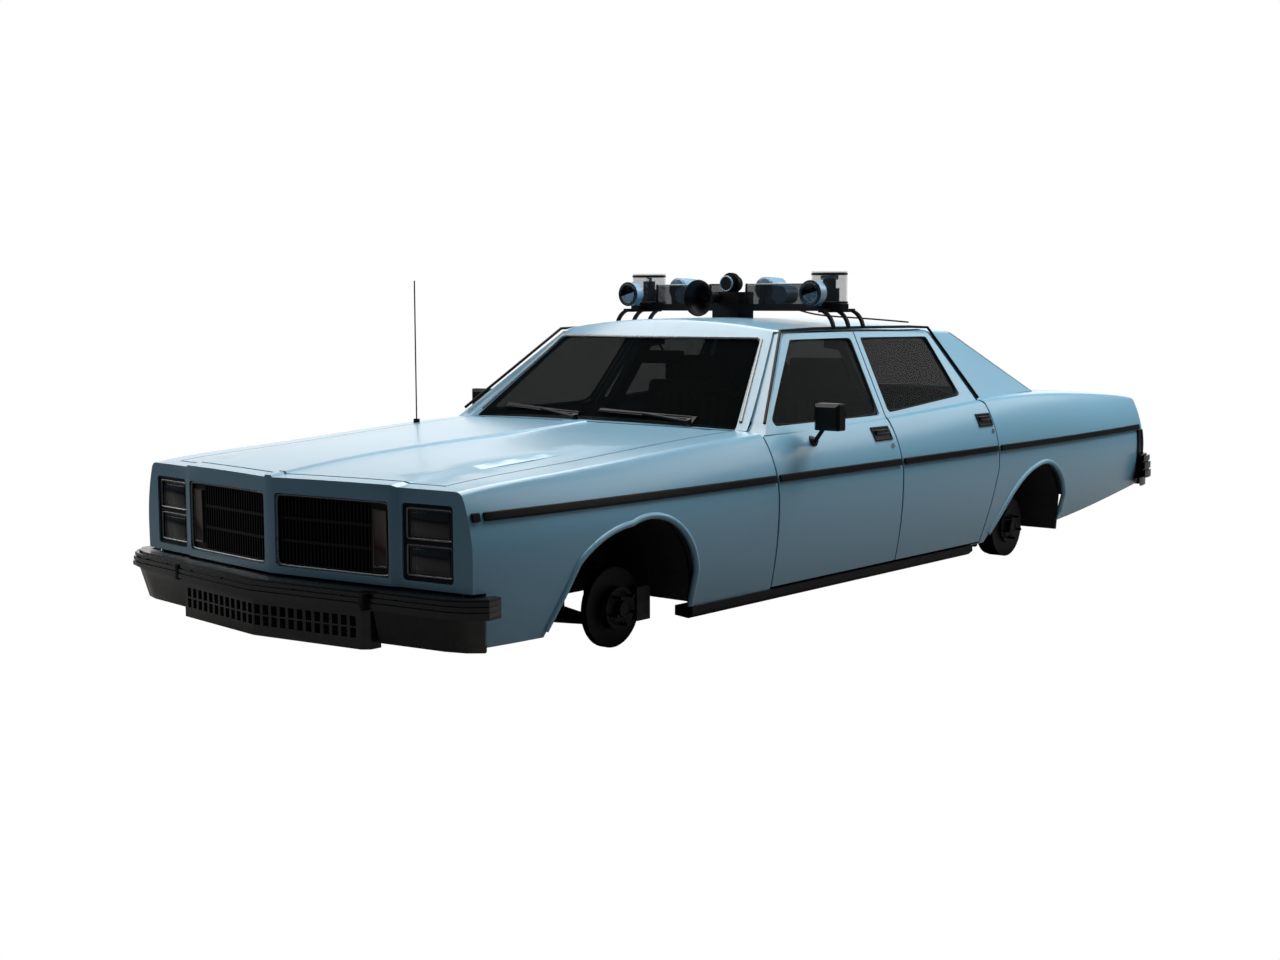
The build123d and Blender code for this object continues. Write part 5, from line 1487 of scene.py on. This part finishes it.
@dataclass
class Cabin:
    """Padded seats, dashboard fittings and door cards."""

    body_work: BodyWork

    @staticmethod
    def pad(name: str, size: Point, at: Point, lean: float, pleats: int, face: str) -> bpy.types.Object:
        """Stuff one cushion with upright pleats on its face.

        Args:
            name: The cushion's name.
            size: Width, depth and height.
            at: Its middle.
            lean: Turn about the car's cross axis, in radians.
            pleats: Number of cells across.
            face: Z for a seat, Y for a backrest facing forward.

        Returns:
            The cushion.
        """
        half = [value / 2.0 for value in size]
        cushion = Bench.block(name, (-half[0], -half[1], -half[2]), tuple(half))
        Bench.take(cushion)
        bpy.ops.object.mode_set(mode="EDIT")
        bpy.ops.mesh.select_all(action="SELECT")
        bpy.ops.mesh.subdivide(number_cuts=pleats - 1)
        bpy.ops.object.mode_set(mode="OBJECT")
        step = size[0] / pleats
        rim = step * 0.1

        def on_face(centre: Vector, normal: Vector) -> bool:
            """Tell whether a face lies on the padded side, inside its border."""
            out = normal.z > 0.9 if face == "Z" else normal.y < -0.9
            other = centre.y / half[1] if face == "Z" else centre.z / half[2]
            return out and abs(centre.x) < half[0] - step * 0.6 and abs(other) < 0.84

        for index in range(1, pleats - 1):
            low = -half[0] + index * step
            Bench.recess(
                cushion, lambda c, n, low=low: on_face(c, n) and low < c.x < low + step, rim, -0.012
            )
        Bench.subdivide(cushion, 2)
        cushion.matrix_world = Matrix.Translation(at) @ Matrix.Rotation(lean, 4, "X")
        Bench.take(cushion)
        return Bench.settle(name)

    def front_seats(self) -> None:
        """Replace the plain front seats by padded ones on their bases."""
        pieces, bases = [], []
        for label, side in SIDES.items():
            x = side * 0.375
            pieces.append(self.pad(f"pad_{label}", (0.525, 0.52, 0.125), (x, -0.1, 0.318), -0.03, 9, "Z"))
            pieces.append(self.pad(f"back_{label}", (0.525, 0.09, 0.545), (x, 0.202, 0.615), -0.16, 9, "Y"))
            pieces.append(self.pad(f"rest_{label}", (0.345, 0.078, 0.145), (x, 0.257, 0.938), -0.07, 6, "Y"))
            for offset in (-0.09, 0.09):
                bases.append(
                    Bench.drum(
                        f"post_{label}_{offset}", (x + offset, 0.245, 0.85), (x + offset, 0.255, 0.9),
                        0.007, sides=20
                    )
                )
            low, high = sorted((side * 0.162, side * 0.588))
            base = Bench.block(f"base_{label}", (low, -0.3, 0.1125), (high, 0.12, 0.262))
            Bench.bevel(base, 0.012, 3)
            bases.append(base)
        seats = Bench.join(pieces, "front_seat_cushions")
        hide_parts("front_seats")
        mount(seats, "body", VINYL, 60.0)
        mount(Bench.join(bases, "front_seat_bases"), "body", TRIM_BLACK)

    def rear_bench(self) -> None:
        """Replace the plain rear bench by a padded one."""
        pieces = [
            self.pad("bench_pad", (1.065, 0.52, 0.17), (0.0, 0.785, 0.335), -0.035, 12, "Z"),
            self.pad("bench_back", (1.065, 0.115, 0.47), (0.0, 1.075, 0.605), -0.2, 12, "Y"),
        ]
        bench = Bench.join(pieces, "rear_bench_cushions")
        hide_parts("rear_seat")
        mount(bench, "body", VINYL, 60.0)
        plinth = Bench.block("rear_bench_plinth", (-0.498, 0.56, 0.2455), (0.498, 1.04, 0.262))
        Bench.bevel(plinth, 0.005, 2)
        mount(plinth, "body", TRIM_BLACK)

    def dash(self) -> None:
        """Fit gauges, a glove box lid, a radio and the column's stalk."""
        hood = Bench.block("gauge_hood", (0.17, -0.79, 0.655), (0.57, -0.655, 0.752))
        Bench.recess(hood, lambda c, n: n.y > 0.9, 0.012, 0.03)
        Bench.bevel(hood, 0.012, 3)
        mount(hood, "body", DASH_VINYL)
        rings, faces = [], []
        for x, radius in ((0.23, 0.026), (0.31, 0.034), (0.43, 0.034), (0.51, 0.026)):
            rings.append(Bench.ring(f"gauge_{x}", (x, -0.68, 0.703), (0, 1, 0), radius, 0.0028))
            dial = Bench.drum(f"dial_{x}", (x, -0.688, 0.703), (x, -0.682, 0.703), radius, sides=32)
            Bench.recess(dial, lambda c, n: n.y > 0.9, 0.004, 0.002)
            faces.append(dial)
        mount(Bench.join(rings, "gauge_rims"), "body", BRIGHT, 60.0)
        mount(Bench.join(faces, "gauge_dials"), "body", TRIM_BLACK)
        lid = Bench.block("glove_lid", (-0.62, -0.684, 0.61), (-0.24, -0.662, 0.69))
        Bench.recess(lid, lambda c, n: n.y > 0.9, 0.012, 0.003)
        Bench.bevel(lid, 0.004, 2)
        mount(lid, "body", DASH_VINYL)
        radio = Bench.block("radio", (-0.1, -0.69, 0.6), (0.1, -0.662, 0.68))
        Bench.recess(radio, lambda c, n: n.y > 0.9, 0.01, 0.004)
        Bench.bevel(radio, 0.003, 2)
        mount(radio, "body", TRIM_BLACK)
        knobs = [
            Bench.drum(
                f"knob_{x}", (x, -0.668, 0.64), (x, -0.648, 0.64), 0.011, 0.009, sides=24
            ) for x in (-0.08, 0.08)
        ]
        mount(Bench.join(knobs, "radio_knobs"), "body", BRIGHT, 40.0)
        stalk = Bench.tube(
            "column_stalk", [(0.37, -0.6, 0.668), (0.44, -0.592, 0.69), (0.52, -0.58, 0.7)], 0.006
        )
        mount(stalk, "body", TRIM_BLACK, 60.0)

    def card(self, name: str, side: str, y0: float, y1: float) -> None:
        """Line one door with a card, an arm rest and its handles.

        Args:
            name: front or rear.
            side: left or right.
            y0: Front edge.
            y1: Rear edge.
        """
        door = self.body_work.panels[f"{name}_door_left"]
        body = f"{name}_door_{side}"
        Bench.clear()
        bpy.ops.mesh.primitive_grid_add(
            x_subdivisions=10, y_subdivisions=14, size=1.0, location=(0.7, (y0 + y1) / 2.0, 0.47),
            rotation=(0.0, -math.pi / 2.0, 0.0),
        )
        bpy.context.object.scale = (0.46, y1 - y0, 1.0)
        sheet = Bench.settle(f"door_card_{name}_{side}")
        Bench.wrap(sheet, door, "X", 0.0004)
        Bench.thicken(sheet, 0.007, 1.0)
        Bench.recess(
            sheet, lambda c, n: n.x < -0.7 and 0.3 < c.z < 0.62 and y0 + 0.06 < c.y < y1 - 0.06, 0.02,
            -0.004
        )
        Bench.bevel(sheet, 0.0025, 2, 50.0)
        face = skin_at(door, (y0 + y1) / 2.0, 0.54, 1.0, True)
        rest = Bench.block(
            f"arm_rest_{name}_{side}", (face - 0.05, y0 + 0.16, 0.515), (face + 0.002, y1 - 0.16, 0.565)
        )
        Bench.bevel(rest, 0.018, 4)
        pull_face = skin_at(door, y0 + 0.12, 0.62, 1.0, True)
        pull = Bench.tube(f"door_pull_{name}_{side}", [
            (pull_face, y0 + 0.1, 0.64), (pull_face - 0.022, y0 + 0.1, 0.64),
            (pull_face - 0.026, y0 + 0.19, 0.642),
        ], 0.006)
        crank_face = skin_at(door, y1 - 0.2, 0.43, 1.0, True)
        crank = Bench.tube(f"window_crank_{name}_{side}", [
            (crank_face, y1 - 0.2, 0.43), (crank_face - 0.024, y1 - 0.2, 0.43),
            (crank_face - 0.028, y1 - 0.15, 0.46),
            (crank_face - 0.044, y1 - 0.13, 0.472),
        ], 0.0065)
        for piece, finish in ((sheet, DASH_VINYL), (rest, VINYL), (pull, BRIGHT), (crank, BRIGHT)):
            mount(SideTrim.flip(piece) if side == "right" else piece, body, finish, 45.0)

    def build(self) -> None:
        """Furnish the cabin."""
        self.front_seats()
        self.rear_bench()
        self.dash()
        for side in SIDES:
            self.card("front", side, -0.72, -0.02)
            self.card("rear", side, 0.2, 0.74)


@dataclass
class EngineBay:
    """Fittings round the engine and the lining of the hood."""

    body_work: BodyWork
    pad_rows: tuple[tuple[str, float, float, float, float], ...] = (
        ("pad", -0.56, 0.56, -2.38, -1.2), ("rib_front", -0.64, 0.64, -2.5, -2.44),
        ("rib_rear", -0.58, 0.58, -1.17, -1.12),
        ("rib_left", 0.6, 0.65, -2.42, -1.12), ("rib_right", -0.65, -0.6, -2.42, -1.12),
    )

    def valve_cover(self, label: str, side: float) -> None:
        """Set one ribbed valve cover and its plug leads on the block."""
        parts = [Bench.block(f"cover_{label}", (-0.048, -2.2, 0.0), (0.048, -1.54, 0.05))]
        Bench.bevel(parts[0], 0.012, 3)
        for y in (-2.12, -1.98, -1.84, -1.7, -1.6):
            rib = Bench.block(f"cover_rib_{label}_{y}", (-0.036, y - 0.006, 0.048), (0.036, y + 0.006, 0.054))
            Bench.bevel(rib, 0.002, 2)
            parts.append(rib)
        cover = Bench.join(parts, f"valve_cover_{label}")
        cover.matrix_world = Matrix.Translation(
            (side * 0.225, 0.0, 0.5)
        ) @ Matrix.Rotation(side * 0.72, 4, "Y")
        Bench.take(cover)
        mount(Bench.settle(f"valve_cover_{label}"), "body", TRIM_BLACK, 40.0)
        leads = [
            Bench.tube(f"lead_{label}_{y}", [
                (side * 0.02, -1.53, 0.6), (side * 0.09, -1.56, 0.61), (side * 0.2, 0.5 * y - 0.8, 0.575),
                (side * 0.285, y, 0.53),
                (side * 0.3, y, 0.46),
            ], 0.0045) for y in (-2.14, -1.94, -1.74, -1.62)
        ]
        mount(Bench.join(leads, f"plug_leads_{label}"), "body", RUBBER, 60.0)

    def air_cleaner(self) -> None:
        """Lid the air cleaner and give it a snorkel."""
        lid = Bench.drum("air_lid", (0.0, -1.85, 0.638), (0.0, -1.85, 0.647), 0.194, 0.188, sides=64)
        Bench.recess(lid, lambda c, n: n.z > 0.9, 0.03, 0.005)
        Bench.bevel(lid, 0.002, 2)
        mount(lid, "body", TRIM_BLACK)
        nut = Bench.ring("air_nut", (0.0, -1.85, 0.65), (0, 1, 0), 0.009, 0.003)
        mount(nut, "body", BRIGHT, 60.0)
        snorkel = Bench.tube(
            "air_snorkel",
            [(0.14, -1.97, 0.597), (0.2, -2.06, 0.597), (0.24, -2.22, 0.59), (0.25, -2.33, 0.585)], 0.032
        )
        Bench.recess(snorkel, lambda c, n: n.y < -0.9, 0.004, 0.02)
        mount(snorkel, "body", TRIM_BLACK, 60.0)
        cap = Bench.drum("distributor", (0.0, -1.515, 0.545), (0.0, -1.525, 0.6), 0.042, 0.034, sides=40)
        Bench.bevel(cap, 0.006, 3)
        mount(cap, "body", TRIM_BLACK)

    def radiator(self) -> None:
        """Stand the radiator with its fan, cap and hoses."""
        core = Bench.block("radiator", (-0.33, -2.436, 0.215), (0.33, -2.39, 0.585))
        Bench.recess(core, lambda c, n: n.y > 0.9, 0.03, 0.01)
        Bench.bevel(core, 0.004, 2)
        mount(core, "body", TRIM_BLACK)
        fins = [
            Bench.block(
                f"fin_{i}", (-0.3, -2.4, 0.25 + 0.012 * i), (0.3, -2.396, 0.254 + 0.012 * i)
            ) for i in range(25)
        ]
        mount(Bench.join(fins, "radiator_fins"), "body", CHASSIS_IRON)
        ring = Bench.ring("fan_shroud", (0.0, -2.365, 0.4), (0, 1, 0), 0.175, 0.014)
        mount(ring, "body", TRIM_BLACK, 60.0)
        fan = [Bench.drum("fan_hub", (0.0, -2.345, 0.4), (0.0, -2.255, 0.4), 0.04, 0.055, sides=40)]
        for index in range(5):
            blade = Bench.block(f"blade_{index}", (0.03, -0.002, -0.03), (0.15, 0.002, 0.03))
            Bench.bevel(blade, 0.0015, 2)
            blade.matrix_world = Matrix.Translation((0.0, -2.33, 0.4)) @ Matrix.Rotation(
                2.0 * math.pi * index / 5.0, 4, "Y"
            ) @ Matrix.Rotation(0.5, 4, "X")
            Bench.take(blade)
            fan.append(Bench.settle(f"blade_{index}"))
        mount(Bench.join(fan, "fan"), "body", BRIGHT, 40.0)
        cap = Bench.drum("radiator_cap", (-0.2, -2.413, 0.582), (-0.2, -2.413, 0.602), 0.028, 0.026, sides=40)
        Bench.bevel(cap, 0.004, 2)
        mount(cap, "body", BRIGHT)
        hoses = [
            Bench.tube(
                "top_hose",
                [(0.26, -2.41, 0.56), (0.25, -2.35, 0.575), (0.14, -2.28, 0.57), (0.07, -2.22, 0.54)], 0.021
            ),
            Bench.tube(
                "heater_hose_a",
                [(-0.1, -1.6, 0.555), (-0.12, -1.45, 0.6), (-0.2, -1.25, 0.57), (-0.2, -1.082, 0.55)], 0.011
            ),
            Bench.tube(
                "heater_hose_b",
                [(-0.06, -1.6, 0.555), (-0.07, -1.4, 0.59), (-0.13, -1.22, 0.55), (-0.13, -1.082, 0.53)],
                0.011
            ),
        ]
        mount(Bench.join(hoses, "bay_hoses"), "body", RUBBER, 60.0)

    def battery(self) -> None:
        """Put the battery on its tray, with its posts and leads."""
        tray = Bench.block("battery_tray", (0.485, -2.47, 0.34), (0.74, -2.27, 0.352))
        Bench.bevel(tray, 0.003, 2)
        mount(tray, "body", UNDERSEAL)
        case = Bench.block("battery", (0.54, -2.455, 0.352), (0.72, -2.285, 0.53))
        Bench.recess(case, lambda c, n: n.z > 0.9, 0.012, 0.004)
        Bench.bevel(case, 0.005, 3)
        mount(case, "body", TRIM_BLACK)
        posts = [
            Bench.drum(
                f"post_{y}", (0.57, y, 0.524), (0.57, y, 0.545), 0.009, 0.008, sides=24
            ) for y in (-2.42, -2.32)
        ]
        mount(Bench.join(posts, "battery_posts"), "body", BRIGHT)
        leads = [
            Bench.tube(
                "lead_plus",
                [(0.57, -2.42, 0.545), (0.53, -2.42, 0.565), (0.5, -2.36, 0.5), (0.49, -2.3, 0.44)], 0.008
            ),
            Bench.tube(
                "lead_earth",
                [(0.57, -2.32, 0.545), (0.52, -2.31, 0.56), (0.5, -2.25, 0.5), (0.49, -2.2, 0.44)], 0.008
            ),
        ]
        mount(Bench.join(leads, "battery_leads"), "body", RUBBER, 60.0)
        bottle = Bench.block("washer_bottle", (-0.7, -2.44, 0.36), (-0.55, -2.3, 0.53))
        Bench.recess(bottle, lambda c, n: n.z > 0.9, 0.03, -0.014)
        Bench.bevel(bottle, 0.012, 3)
        mount(bottle, "body", BOTTLE_WHITE, 40.0)
        shelf = Bench.block("bottle_tray", (-0.72, -2.46, 0.348), (-0.485, -2.28, 0.36))
        Bench.bevel(shelf, 0.003, 2)
        mount(shelf, "body", UNDERSEAL)

    def brakes(self) -> None:
        """Bolt the brake servo and its cylinder to the bulkhead."""
        servo = Bench.drum("brake_servo", (0.37, -1.079, 0.55), (0.37, -1.165, 0.55), 0.11, 0.1, sides=56)
        Bench.recess(servo, lambda c, n: n.y < -0.9, 0.035, -0.02)
        Bench.bevel(servo, 0.008, 3)
        mount(servo, "body", CHASSIS_IRON)
        body = Bench.block("brake_cylinder", (0.345, -1.33, 0.535), (0.395, -1.18, 0.605))
        Bench.recess(body, lambda c, n: n.z > 0.9, 0.006, 0.003)
        Bench.bevel(body, 0.006, 3)
        mount(body, "body", ENGINE_IRON)

    def lining(self) -> None:
        """Press a pad and ribs to the underside of the hood."""
        hood = self.body_work.panels["hood"]
        for name, x0, x1, y0, y1 in self.pad_rows:
            Bench.clear()
            bpy.ops.mesh.primitive_grid_add(
                x_subdivisions=28, y_subdivisions=28, size=1.0, location=((x0 + x1) / 2, (y0 + y1) / 2, 0.5)
            )
            bpy.context.object.scale = (x1 - x0, y1 - y0, 1.0)
            sheet = Bench.settle(f"hood_{name}")
            Bench.wrap(sheet, hood, "Z", 0.001)
            Bench.thicken(sheet, 0.007, 0.0)
            Bench.bevel(sheet, 0.002, 2, 60.0)
            mount(sheet, "hood", UNDERSEAL if name == "pad" else PAINT, 50.0)

    def build(self) -> None:
        """Dress the bay."""
        for label, side in SIDES.items():
            self.valve_cover(label, side)
        self.air_cleaner()
        self.radiator()
        self.battery()
        self.brakes()
        self.lining()


@dataclass
class Studio:
    """Floor, lamps and the photograph's camera."""

    camera_at: Point = (4.9215, -6.4881, 1.2865)
    azimuth: float = 40.02
    look_down: float = 5.96
    roll: float = -0.18
    lens: float = 48.77
    floor_size: float = 60.0
    ambient: float = 0.085
    floor_bounce: float = 0.12
    air_tint: Colour = (0.62, 0.95, 1.15)
    warmth: Colour = (1.0, 0.955, 0.92)

    def camera(self) -> None:
        """Stand the camera where the photograph was taken."""
        turn, tilt, lean = (math.radians(v) for v in (self.azimuth, self.look_down, self.roll))
        back = Vector((
            math.sin(turn) * math.cos(tilt), -math.cos(turn) * math.cos(tilt), math.sin(tilt)
        ))
        right = Vector((math.cos(turn), math.sin(turn), 0.0))
        up = back.cross(right)
        across = right * math.cos(lean) + up * math.sin(lean)
        rise = up * math.cos(lean) - right * math.sin(lean)
        data = bpy.data.cameras.new("camera")
        data.lens = self.lens
        data.sensor_width = 36.0
        data.clip_end = 200.0
        obj = bpy.data.objects.new("camera", data)
        bpy.context.scene.collection.objects.link(obj)
        obj.matrix_world = Matrix.Translation(self.camera_at) @ Matrix(
            (across, rise, back)
        ).transposed().to_4x4()
        bpy.context.scene.camera = obj

    def floor(self) -> None:
        """Lay the floor, plain white to the eye and dark to the car above it."""
        Bench.clear()
        bpy.ops.mesh.primitive_plane_add(size=self.floor_size)
        ground = Bench.settle("studio_floor")
        pale = bpy.data.materials.new("studio_floor")
        pale.use_nodes = True
        tree = pale.node_tree
        shader = tree.nodes["Principled BSDF"]
        shader.inputs["Base Color"].default_value = (self.floor_bounce,) * 3 + (1.0,)
        shader.inputs["Roughness"].default_value = 0.9
        shader.inputs["Specular IOR Level"].default_value = 0.0
        white = tree.nodes.new("ShaderNodeEmission")
        white.inputs["Strength"].default_value = 1.0
        path = tree.nodes.new("ShaderNodeLightPath")
        choose = tree.nodes.new("ShaderNodeMixShader")
        tree.links.new(path.outputs["Is Camera Ray"], choose.inputs["Fac"])
        tree.links.new(shader.outputs["BSDF"], choose.inputs[1])
        tree.links.new(white.outputs["Emission"], choose.inputs[2])
        tree.links.new(choose.outputs["Shader"], tree.nodes["Material Output"].inputs["Surface"])
        ground.data.materials.append(pale)

    def world(self) -> None:
        """Light the air faintly and show it white behind the car."""
        air = bpy.data.worlds.new("studio_air")
        bpy.context.scene.world = air
        air.use_nodes = True
        tree = air.node_tree
        glow = tree.nodes["Background"]
        path = tree.nodes.new("ShaderNodeLightPath")
        level = tree.nodes.new("ShaderNodeMapRange")
        level.inputs["To Min"].default_value = self.ambient
        level.inputs["To Max"].default_value = 1.0
        tree.links.new(path.outputs["Is Camera Ray"], level.inputs["Value"])
        tree.links.new(level.outputs["Result"], glow.inputs["Strength"])
        tint = tree.nodes.new("ShaderNodeMix")
        tint.data_type = "RGBA"
        tint.inputs["A"].default_value = (*self.air_tint, 1.0)
        tint.inputs["B"].default_value = (1.0, 1.0, 1.0, 1.0)
        tree.links.new(path.outputs["Is Camera Ray"], tint.inputs["Factor"])
        tree.links.new(tint.outputs["Result"], glow.inputs["Color"])

    def lamp(
        self, name: str, at: Point, aim: Point, size: tuple[float, float], power: float, mirrored: bool = True
    ) -> None:
        """Hang one soft lamp.

        Args:
            name: The lamp's name.
            at: Its place.
            aim: The point it faces.
            size: Width and height.
            power: Watts.
            mirrored: Whether glossy faces show it.
        """
        data = bpy.data.lights.new(name, "AREA")
        data.color = self.warmth
        data.shape = "RECTANGLE"
        data.size, data.size_y = size
        data.energy = power
        obj = bpy.data.objects.new(name, data)
        bpy.context.scene.collection.objects.link(obj)
        obj.visible_glossy = mirrored
        obj.location = at
        obj.rotation_euler = (Vector(aim) - Vector(at)).to_track_quat("-Z", "Y").to_euler()

    def build(self) -> None:
        """Set the camera, the floor, the air and the lamps."""
        self.camera()
        self.floor()
        self.world()
        self.lamp("overhead", (-1.0, 0.5, 6.5), (0.0, 0.0, 0.5), (6.0, 9.0), 680.0)
        self.lamp("backdrop", (-9.0, 9.5, 3.2), (0.0, 0.0, 1.0), (18.0, 6.0), 380.0)
        self.lamp("far_side", (-6.0, -4.0, 4.5), (0.0, -0.5, 0.8), (4.0, 5.0), 200.0)
        self.lamp("rear_side", (2.5, 6.0, 8.0), (0.6, 1.2, 0.8), (5.0, 4.0), 1900.0, mirrored=False)
        self.lamp("sky_panel", (9.0, 12.0, 8.5), (0.9, 0.4, 0.8), (16.0, 5.0), 380.0)
        bpy.context.scene.view_settings.view_transform = "Standard"


def main() -> None:
    """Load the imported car, dress it and set the studio."""
    logging.basicConfig(level=logging.INFO, format="%(name)s: %(message)s")
    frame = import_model()
    Studio().build()
    body_work = BodyWork(frame, NODE_FINISHES)
    body_work.build()
    for group in (
        SideTrim(body_work), Screens(body_work), FrontEnd(), TailEnd(), RoofBar(), Mirrors(), Brakes(),
        Cabin(body_work),
        EngineBay(body_work),
    ):
        group.build()


if __name__ == "__main__":
    main()
